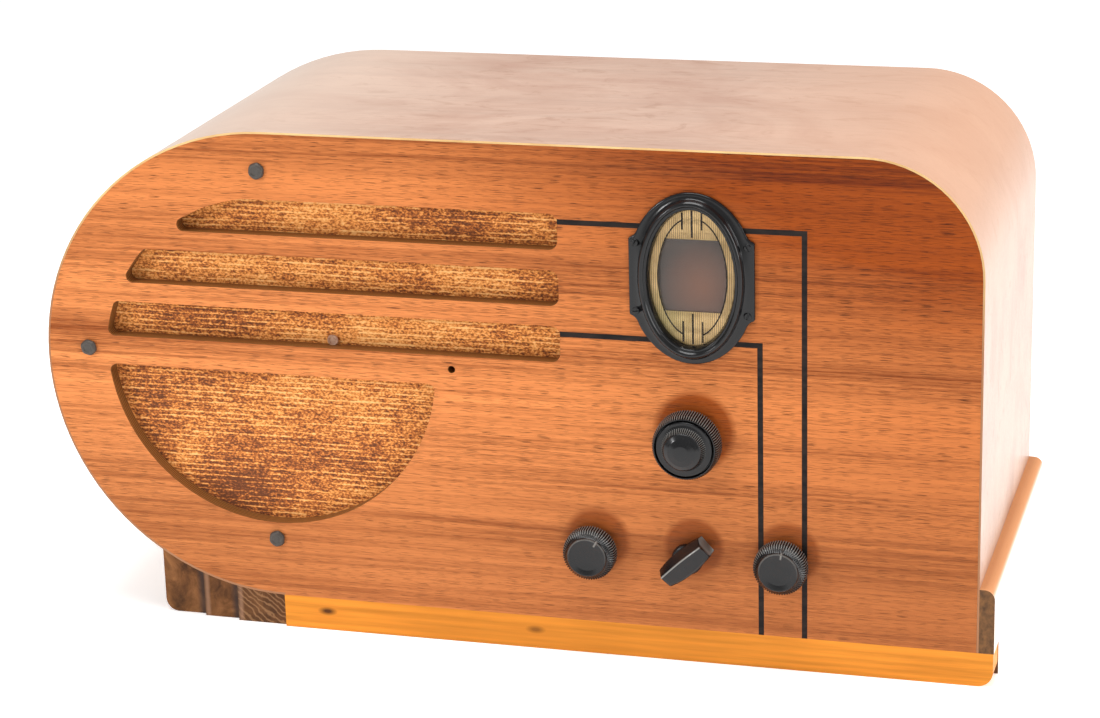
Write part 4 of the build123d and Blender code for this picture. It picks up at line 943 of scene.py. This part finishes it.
class RADIO_OT_dial(bpy.types.Operator):
    """Mould the escutcheon and print the mask and its window"""

    bl_idname = "radio.dial"
    bl_label = "Dial window"

    # edge of the flange: how far in from its outline, and how far above the panel
    flange_edge = [(0.15, 0.0), (0.0, 0.35), (0.0, 1.5), (0.25, 2.0), (0.8, 2.2), (1.6, 2.25)]
    # oval steps from the foot of the moulding to the lens: half width, half height, rise
    ovals = [
        (31.4, 47.2, 2.2), (30.9, 46.6, 3.2), (30.2, 45.8, 5.2), (29.4, 45.0, 6.2),
        (28.5, 44.0, 6.6), (27.7, 43.2, 6.2), (27.2, 42.6, 5.2), (26.8, 42.1, 4.8),
        (26.3, 41.6, 5.1), (25.8, 41.1, 4.8), (25.1, 40.4, 2.4), (24.4, 39.6, 0.3),
        (24.5, 39.7, -0.05), (25.5, 41.0, -0.05), (25.5, 41.0, -3.0),
        (26.8, 42.3, -3.0), (26.8, 42.3, -0.02),
    ]
    screw_head = [
        (-2.0, 0.0), (-2.0, 2.2), (-2.6, 2.2), (-2.95, 1.8), (-3.0, 1.2), (-3.0, 0.6), (-3.0, 0.0)
    ]
    mask_half_width, mask_half_height = 24.2, 39.2
    arc_half_width, arc_half_height, arc_line = 19.9, 34.9, 0.85
    bar_spacing, bar_line = 5.7, 0.96
    window_top, window_low = 22.45, 20.05

    def execute(self, context):
        x, z, rise = self.moulding(288)
        shell = np.stack([DIAL[0] + x * MM, FACE - rise * MM, DIAL[2] + z * MM], -1)
        black = FINISHES["moulded_black"]
        obj = piece("escutcheon_moulding", [(shell, True, True)], "cabinet", black)
        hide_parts("escutcheon")
        heads = [self.head(sx, sz) for sx in (-1, 1) for sz in (-1, 1)]
        obj = piece("escutcheon_screw_heads", heads, "cabinet", black)
        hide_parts("escutcheon_screws")
        self.print_lines()
        self.film()
        return {"FINISHED"}

    def moulding(self, around):
        """Across, up and rise of each point: the flange's outline first, then the ovals inside it.

        A flange point lies on the outline in the direction the outermost oval's point has, so the
        two kinds of ring join without a twist.
        """
        angle = np.linspace(0, FULL_TURN, around, endpoint=False)
        quarter = self.quarter_outline()
        across, up = quarter.T
        polar = np.arctan2(quarter[-1, 1] * np.sin(angle), quarter[0, 0] * np.cos(angle))
        fold = np.arctan2(np.abs(np.sin(polar)), np.abs(np.cos(polar)))
        flange = np.interp(fold, np.arctan2(up, across), np.hypot(across, up))
        rings = []
        for inset, rise in self.flange_edge:
            out = flange - inset
            rings.append((np.cos(polar) * out, np.sin(polar) * out, np.full(around, rise)))
        for wide, tall, rise in self.ovals:
            rings.append((np.cos(angle) * wide, np.sin(angle) * tall, np.full(around, rise)))
        return np.stack(rings, -1)

    def quarter_outline(self):
        """Upper right quarter of the flange: a straight ear, its rounded corner, a hollow, an oval."""
        oval_width, oval_height, ear_top = 37.6, 50.2, 30.5
        start = math.asin(ear_top / oval_height)
        t = np.linspace(start, math.pi / 2, 40)[:, None]
        oval = np.hstack([oval_width * np.cos(t), oval_height * np.sin(t)])
        ear = [(36.3, 0.0), (36.3, 12.0), (36.3, 22.8), (34.3, 23.3), (32.1, 25.4), tuple(oval[0])]
        outline = np.concatenate([rounded(ear, 1.6, 6)[:-1], oval])
        pairs = zip(outline[:-1], outline[1:])
        return np.concatenate([np.linspace(a, b, 12, endpoint=False) for a, b in pairs])

    def head(self, sx, sz):
        """Screw head at one corner, with a slot where the distance from a leaning line is small."""
        spot = DIAL + np.array([sx * 0.0324, 0, sz * 0.0200])
        lean = math.radians(35 + 60 * (sx > 0) + 25 * sz)

        def slot(angle, depth, radius):
            from_line = np.abs(radius * np.sin(angle - lean))
            cut = (from_line < 0.42) & (depth < -2.3) & (radius < 1.9)
            return np.where(cut, 0.8, 0.0), 0 * angle * radius

        return turned(spot, rounded(self.screw_head, 0.2), 48, slot), True, False

    def print_lines(self):
        """Dark lines on the mask: two arcs of an oval, and three bars above and below the window."""
        y = low("dial_mask")[1] - 0.00006
        grids = []
        side = math.acos(self.bar_spacing / self.arc_half_width)
        edge = np.array([-self.arc_line / 2, self.arc_line / 2])[None, :]
        for start in (-side, math.pi - side):
            t = np.linspace(start, start + 2 * side, 90)[:, None]
            x = DIAL[0] + np.cos(t) * (self.arc_half_width + edge) * MM
            z = DIAL[2] + np.sin(t) * (self.arc_half_height + edge) * MM
            grids.append(level_sheet(x, y, z))
        half = self.bar_line / 2
        aside = self.bar_spacing
        for across, near, far in ((0.0, 1.0, 39.2), (-aside, 5.6, 38.0), (aside, 5.6, 38.0)):
            share = math.sqrt(1 - (across / self.mask_half_width) ** 2)
            reach = min(far, self.mask_half_height * share)
            for base, sign in ((self.window_top, 1), (-self.window_low, -1)):
                xs = DIAL[0] + (across + np.array([-half, half])) * MM
                zs = DIAL[2] + np.array([base + sign * near, sign * reach]) * MM
                x, z = np.meshgrid(xs, zs, indexing="ij")
                grids.append(level_sheet(x, y, z))
        ink = FINISHES["inlay_black"]
        piece("mask_lines", grids, "cabinet", ink, towards=(0, -1, 0), smooth=False)

    def film(self):
        """Film plate behind the mask: a slightly bowed rectangle."""
        u = np.linspace(-1, 1, 24)[:, None]
        v = np.linspace(-1, 1, 24)[None, :]
        x = DIAL[0] + u * 0.0215 + 0 * v
        z = DIAL[2] + 0.0012 + v * 0.0255 + 0 * u
        y = high("dial_mask")[1] + 0.0006 - 0.0004 * (1 - u**2) * (1 - v**2)
        film = EXTRA["aged_film"]
        piece("window_film", [level_sheet(x, y, z)], "cabinet", film, (0, -1, 0))


def fluted_knob(name, node, body, outline, flute_from, flute_to, flutes, aim=None):
    """Turned knob with flutes.

    The flutes are a cosine of the angle, raised to a power that widens the crests, where the
    outline's radius lies between flute_from and flute_to.  Where aim is stated, a pointer ridge
    adds height along that angle: a bell curve of the distance from its line.
    """
    sizes, colours = settings()
    deep = sizes.flute_depth / MM
    run_in = 0.5
    pointer_from, pointer_to, pointer_rise, pointer_width, pointer_run_in = 10.9, 15.0, 1.1, 0.75, 0.8
    front_depth = -8.0

    def wave(angle, depth, radius):
        rise, fall = (radius - flute_from) / run_in, (flute_to - radius) / run_in
        groove = (0.5 - 0.5 * np.cos(flutes * angle)) ** 1.5
        lift = np.zeros((len(angle), len(depth)))
        if aim is not None:
            away = (angle - aim + math.pi) % FULL_TURN - math.pi
            reach = np.clip((radius - pointer_from) / pointer_run_in, 0, 1)
            reach = reach * np.clip((pointer_to - radius) / pointer_run_in, 0, 1)
            ridge = np.exp(-((away * radius / pointer_width) ** 2))
            lift = -pointer_rise * ridge * reach * (depth < front_depth)
        return lift, deep * np.clip(rise, 0, 1) * np.clip(fall, 0, 1) * groove

    grid = turned(middle(node), rounded(outline, 0.35, 5), flutes * 8, wave)
    # grey on the flutes, pointer and rim: wear, and painted highlight on the upward crests and upper
    # rim
    worn = flute_wear_and_highlight(node, flutes, flute_from * MM, flute_to * MM, aim)
    finish = moulded(name + " black", tuple(colours.moulding), worn=worn)
    obj = piece(name, [(grid, True, False)], body, finish)
    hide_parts(node)


class RADIO_OT_knobs(bpy.types.Operator):
    """Turn the fluted knobs and the bar knob"""

    bl_idname = "radio.knobs"
    bl_label = "Knobs"

    # outlines from the back to the front: (depth, radius)
    small = [
        (-3.0, 0.0), (-3.0, 15.3), (-3.7, 15.9), (-10.0, 15.7), (-10.7, 15.0), (-13.9, 11.9),
        (-14.9, 11.5), (-15.0, 11.0), (-14.3, 8.0), (-13.8, 4.0), (-13.7, 0.0),
    ]
    fast = [
        (-3.0, 6.0), (-3.0, 19.2), (-3.9, 19.95), (-12.8, 19.5), (-13.8, 18.9), (-15.4, 18.3),
        (-15.5, 17.4), (-12.6, 17.2), (-12.6, 6.0),
    ]
    slow = [
        (-12.7, 4.0), (-12.7, 16.2), (-14.9, 16.5), (-15.8, 16.1), (-15.9, 14.6), (-16.3, 12.9),
        (-19.6, 11.6), (-20.8, 10.6), (-22.5, 8.0), (-23.6, 4.4), (-23.95, 0.0),
    ]
    hub = [(-3.0, 0.0), (-3.0, 9.2), (-3.8, 9.5), (-6.4, 9.2), (-7.4, 8.2), (-7.4, 0.0)]
    # the bar's cross-section: share of the half width, and depth
    section = [
        (0.0, -5.0), (1.0, -5.0), (1.0, -8.4), (0.42, -15.1), (0.34, -15.45), (-0.84, -13.2),
        (-1.0, -12.0), (-1.0, -5.0), (0.0, -5.0),
    ]
    whole_rim = 99  # a radius past any rim
    bar_lean = math.radians(42)
    bar_foot, half_length, half_width, narrowing = -5.0, 16.5, 7.5, 1.9
    hub_flutes = 48

    def execute(self, context):
        sizes, _ = settings()
        rim, count = self.whole_rim, sizes.small_knob_flutes
        for control, lean in (("volume", 31), ("tone", 10)):
            node, aim = control + "_knob", math.radians(90 - lean)
            fluted_knob(node + "_fluted", node, control, self.small, 13.4, rim, count, aim)
        outer = sizes.tuning_knob_flutes
        fluted_knob("fast_knob_fluted", "fast_tuning_knob", "fast_tuning", self.fast, 18.0, rim, outer)
        fluted_knob("slow_knob_fluted", "slow_tuning_knob", "slow_tuning", self.slow, 11.0, 13.4, count)
        self.bar()
        return {"FINISHED"}

    def bar(self):
        """Bar knob: one cross-section carried along a line, over a round hub.

        At s along the bar, from -1 to 1, the section is (across, depth) with across scaled by the
        half width w(s) = 7.5 - 1.9 * s^2, and its front lowered by a tenth times s^4.  One long
        crest divides a wide facet from a narrow one.
        """
        section = rounded(self.section, 0.12)[:-1]
        s = np.concatenate([[-1.0, -1.0], np.linspace(-1, 1, 61), [1.0, 1.0]])
        shrink = np.concatenate([[0.0, 0.94], np.ones(61), [0.94, 0.0]])
        width = (self.half_width - self.narrowing * s**2) * shrink
        across = width[:, None] * section[None, :, 0]
        s, shrink = s[:, None], shrink[:, None]
        front = (section[None, :, 1] - self.bar_foot) * shrink + self.bar_foot
        front = front * (1 - 0.10 * s**4)
        right_slope = 0.24 * (front - self.bar_foot) * (s > 0.9)
        left_point = 2.4 * np.exp(-((across / 1.3) ** 2)) * (s < -0.99) * (front > -8.5)
        along = self.half_length * s + right_slope - left_point
        spot = middle("band_switch_shaft")
        cos, sin = math.cos(self.bar_lean), math.sin(self.bar_lean)
        x = spot[0] + (along * cos - across * sin) * MM
        y = FACE + np.minimum(front, self.bar_foot) * MM
        z = spot[2] + (along * sin + across * cos) * MM

        def fine_flutes(angle, depth, radius):
            groove = 0.5 - 0.5 * np.cos(self.hub_flutes * angle)
            return 0 * angle * depth, 0.30 * (radius > 8.9) * groove

        hub = turned(spot, rounded(self.hub, 0.4, 5), self.hub_flutes * 6, fine_flutes)
        grids = [(np.stack([x, y, z], -1), False, True), (hub, True, False)]
        _, colours = settings()
        black, grey = tuple(colours.moulding), (0.27, 0.26, 0.24)
        # its grey is a painted highlight along the crest and on the right end
        finish = moulded("band knob black", black, worn=self.painted_crest_highlight, grey=grey)
        obj = piece("band_knob_bar", grids, "band", finish)
        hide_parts("band_switch_knob")

    def painted_crest_highlight(self, f):
        """Painted highlight along the crest, where the gap to its bowed line is small, and on the right
        end.
        """
        cos, sin = math.cos(self.bar_lean), math.sin(self.bar_lean)
        spot = middle("band_switch_shaft")
        crest_across, crest_bow, crest_depth = 0.00285, 0.72, -0.0128
        x, y, z = f.about(spot)
        run = f.plus(f.times(x, cos), f.times(z, sin))
        side = f.minus(f.times(z, cos), f.times(x, sin))
        bow = f.times(f.times(run, run), -crest_bow / (self.half_length * MM) ** 2 * MM)
        away = f.gap(side, f.plus(bow, crest_across))
        front = f.step(f.plus(y, spot[1] - FACE), crest_depth, crest_depth - 0.0008)
        crest = f.times(f.step(away, 0.0006, 0.0002), front)
        end = f.times(f.step(run, 0.0148, 0.0152), 0.5)
        return f.times(f.larger(crest, end), 0.85)


class RADIO_OT_bolts(bpy.types.Operator):
    """Turn the worn heads of the baffle bolts"""

    bl_idname = "radio.bolts"
    bl_label = "Baffle bolts"

    head_radius = 0.005
    head = [
        (-0.1, 0.0), (-0.1, 4.7), (-1.0, 5.0), (-2.2, 4.5), (-2.9, 3.6), (-2.8, 2.9), (-2.35, 2.4),
        (-2.4, 0.0),
    ]
    shank = [(-1.0, 0.0), (-1.0, 1.95), (19.0, 1.95), (22.6, 1.9), (22.9, 0.0)]
    nut = [(17.85, 0.0), (17.85, 4.6), (21.0, 4.6), (21.3, 4.2), (21.3, 0.0)]

    def execute(self, context):
        lo, hi = low("baffle_bolts"), high("baffle_bolts")
        right = hi[0] - self.head_radius
        reach = (hi[2] - lo[2]) / 2 - self.head_radius
        mid = (hi[2] + lo[2]) / 2
        grids = []
        for x, z in ((right, mid + reach), (right, mid - reach), (right - reach, mid)):
            spot = np.array([x, 0, z])
            for outline, corner, around, wave in (
                (self.head, 0.35, 60, self.wear(x)),
                (self.shank, 0.3, 24, None),
                (self.nut, 0.2, 72, self.hexagon),
            ):
                grids.append((turned(spot, rounded(outline, corner), around, wave), True, False))
        obj = piece("baffle_bolt_heads", grids, "cabinet", FINISHES["dark_steel"])
        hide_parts("baffle_bolts")
        return {"FINISHED"}

    def wear(self, x):
        """Six shallow flats and two broad ones round a head, turned by its place across."""

        def wave(angle, depth, radius):
            flats = 0.12 * np.cos(6 * angle + x * 900) + 0.10 * np.cos(2 * angle + x * 300)
            return 0 * angle * depth, flats * (radius > 2.0) * (depth < 0)

        return wave

    def hexagon(self, angle, depth, radius):
        """Takes off what a circle has beyond the hexagon inside it."""
        flat = FULL_TURN / 12
        corner = (angle % (2 * flat)) - flat
        share = 1 - math.cos(flat) / np.cos(corner)
        return 0 * angle * depth, radius * share * (radius > 3.0)


class RADIO_OT_tubes(bpy.types.Operator):
    """Fit the plates, mica spacers and caps inside and on the tubes"""

    bl_idname = "radio.tubes"
    bl_label = "Tube interiors"

    spots = [(338.0, 178.0), (390.0, 178.0), (442.0, 178.0), (492.0, 180.0), (492.0, 72.0)]
    capped = 3  # how many of them, from the first, carry a cap
    spacer_heights = (7.9, 41.0)
    # outlines from the bottom up: (radius, height)
    plates = [(0.0, 8.0), (7.0, 8.0), (7.4, 9.0), (7.4, 40.0), (7.0, 41.0), (0.0, 41.0)]
    stem = [(0.0, 0.2), (6.5, 0.2), (5.4, 3.0), (3.2, 7.0), (3.0, 7.9), (0.0, 7.9)]
    spacer = [(0.0, 0.0), (10.6, 0.0), (10.8, 0.25), (10.6, 0.5), (0.0, 0.5)]
    cap = [(0.0, 0.0), (5.2, -1.6), (5.2, -0.8), (4.4, 0.4), (4.2, 5.8), (3.4, 6.8), (0.0, 7.2)]

    def execute(self, context):
        foot, top = high("tube_bases")[2], high("tube_envelopes")[2]
        plates, mica, caps = [], [], []
        for number, (across, depth) in enumerate(self.spots):
            x, y, _ = at(across, depth, 0)
            plates += [self.ribbed(x, y, foot), self.lathed(x, y, self.stem, foot, 32)]
            for height in self.spacer_heights:
                mica.append(self.lathed(x, y, self.spacer, foot + height * MM, 40))
            if number < self.capped:
                caps.append(self.lathed(x, y, self.cap, top - 0.6 * MM, 32))
        piece("tube_plates", plates, "cabinet", EXTRA["plate_black"])
        piece("tube_spacers", mica, "cabinet", EXTRA["mica"])
        piece("tube_caps", caps, "cabinet", FINISHES["zinc_steel"])
        return {"FINISHED"}

    def lathed(self, x, y, outline, height, around):
        """Outline in millimetres turned about the upright line at (x, y) and raised."""
        outline = np.array(outline) * MM
        outline[:, 1] += height
        return turned_upright(x, y, outline, around), True, False

    def ribbed(self, x, y, foot):
        """Plate cylinder: an oval whose radius swells where two ribs run up it."""
        grid, *closing = self.lathed(0.0, 0.0, self.plates, foot, 64)
        angle = np.arctan2(grid[..., 1], grid[..., 0])
        swell = 1 + 0.08 * np.exp(-((np.sin(angle) / 0.25) ** 2))
        grid[..., 0] = grid[..., 0] * swell * 1.15 + x
        grid[..., 1] = grid[..., 1] * 0.82 + y
        return grid, *closing


class RADIO_OT_stage(bpy.types.Operator):
    """Set the floor, the lights, the world and the camera"""

    bl_idname = "radio.stage"
    bl_label = "Stage"

    floor_reach, floor_drop, floor_glow = 14, 0.0002, 0.36
    world_strength = 0.50
    # name, place, aim, size, power
    softboxes = [
        ("softbox top", (0.0, -0.25, 1.9), (0.0, 0.0, 0.15), 1.1, 30.0),
        ("softbox right", (1.9, 0.0, 0.7), (0.1, 0.05, 0.12), 1.0, 22.0),
        ("softbox front left", (-1.5, -1.5, 1.0), (0.0, 0.0, 0.12), 0.40, 15.0),
    ]
    camera_place = (772.71, -1582.05, 692.97)
    lens = 98.34
    yaw, pitch, roll = (math.radians(v) for v in (-16.12, -17.90, -1.578))

    def execute(self, context):
        self.floor()
        self.world()
        for softbox in self.softboxes:
            self.softbox(*softbox)
        self.camera(context)
        context.scene.view_settings.view_transform = "Standard"
        return {"FINISHED"}

    def floor(self):
        edge = np.linspace(-self.floor_reach, self.floor_reach, 9)
        u, v = np.meshgrid(edge, edge, indexing="ij")
        points = np.stack([u, v, 0 * u - self.floor_drop], -1)
        quads = lattice(9, 9, False, False)
        mesh = bpy.data.meshes.new("floor")
        mesh.from_pydata(points.reshape(-1, 3).tolist(), [], quads.tolist())
        obj = bpy.data.objects.new("floor", mesh)
        bpy.context.scene.collection.objects.link(obj)
        f = Finish("floor paper", roughness=0.9)
        f.colour((0.96, 0.96, 0.96))
        f.set("Emission Color", (1.0, 1.0, 1.0))
        f.set("Emission Strength", self.floor_glow)
        mesh.materials.append(f.material)

    def world(self):
        world = bpy.data.worlds.new("studio")
        world.use_nodes = True
        background = world.node_tree.nodes["Background"]
        background.inputs["Color"].default_value = (1, 1, 1, 1)
        background.inputs["Strength"].default_value = self.world_strength
        bpy.context.scene.world = world

    def placed(self, name, data, place, side, up, back):
        """Light or camera at a place, its own x, y and z axes along side, up and back."""
        obj = bpy.data.objects.new(name, data)
        bpy.context.scene.collection.objects.link(obj)
        turn = Matrix([[side[k], up[k], back[k]] for k in range(3)]).to_4x4()
        obj.matrix_world = Matrix.Translation(place) @ turn
        return obj

    def softbox(self, name, place, aim, size, power):
        light = bpy.data.lights.new(name, "AREA")
        light.energy = power
        light.shape = "SQUARE"
        light.size = size
        back = np.array(place, dtype=float) - np.array(aim, dtype=float)
        back /= np.linalg.norm(back)
        side = np.cross([0, 0, 1], back)
        side /= np.linalg.norm(side)
        self.placed(name, light, place, side, np.cross(back, side), back)

    def camera(self, context):
        data = bpy.data.cameras.new("camera")
        data.lens = self.lens
        data.sensor_width = 36.0
        data.clip_end = 50.0
        cos_yaw, sin_yaw = math.cos(self.yaw), math.sin(self.yaw)
        cos_pitch, sin_pitch = math.cos(self.pitch), math.sin(self.pitch)
        cos_roll, sin_roll = math.cos(self.roll), math.sin(self.roll)
        forward = np.array([sin_yaw * cos_pitch, cos_yaw * cos_pitch, sin_pitch])
        level = np.array([cos_yaw, -sin_yaw, 0.0])
        above = np.cross(level, forward)
        side = level * cos_roll + above * sin_roll
        up = -level * sin_roll + above * cos_roll
        place = at(*self.camera_place)
        context.scene.camera = self.placed("camera", data, place, side, up, -forward)


class RADIO_PT_panel(bpy.types.Panel):
    """Buttons that make the radio's finishes, its pieces and its stage"""

    bl_label = "Table radio"
    bl_idname = "RADIO_PT_panel"
    bl_space_type = "VIEW_3D"
    bl_region_type = "UI"
    bl_category = "Radio"

    def draw(self, context):
        for operator in OPERATORS:
            self.layout.operator(operator.bl_idname)


OPERATORS = [
    RADIO_OT_finishes,
    RADIO_OT_cloth,
    RADIO_OT_dial,
    RADIO_OT_knobs,
    RADIO_OT_bolts,
    RADIO_OT_tubes,
    RADIO_OT_stage,
]
CLASSES = [RadioSizes, RadioColours, *OPERATORS, RADIO_PT_panel]


def register():
    for item in CLASSES:
        bpy.utils.register_class(item)
    bpy.types.Scene.radio_sizes = bpy.props.PointerProperty(type=RadioSizes)
    bpy.types.Scene.radio_colours = bpy.props.PointerProperty(type=RadioColours)


def unregister():
    del bpy.types.Scene.radio_colours
    del bpy.types.Scene.radio_sizes
    for item in reversed(CLASSES):
        bpy.utils.unregister_class(item)


def main():
    register()
    for operator in OPERATORS:
        family, action = operator.bl_idname.split(".")
        getattr(getattr(bpy.ops, family), action)()


if __name__ == "__main__":
    main()
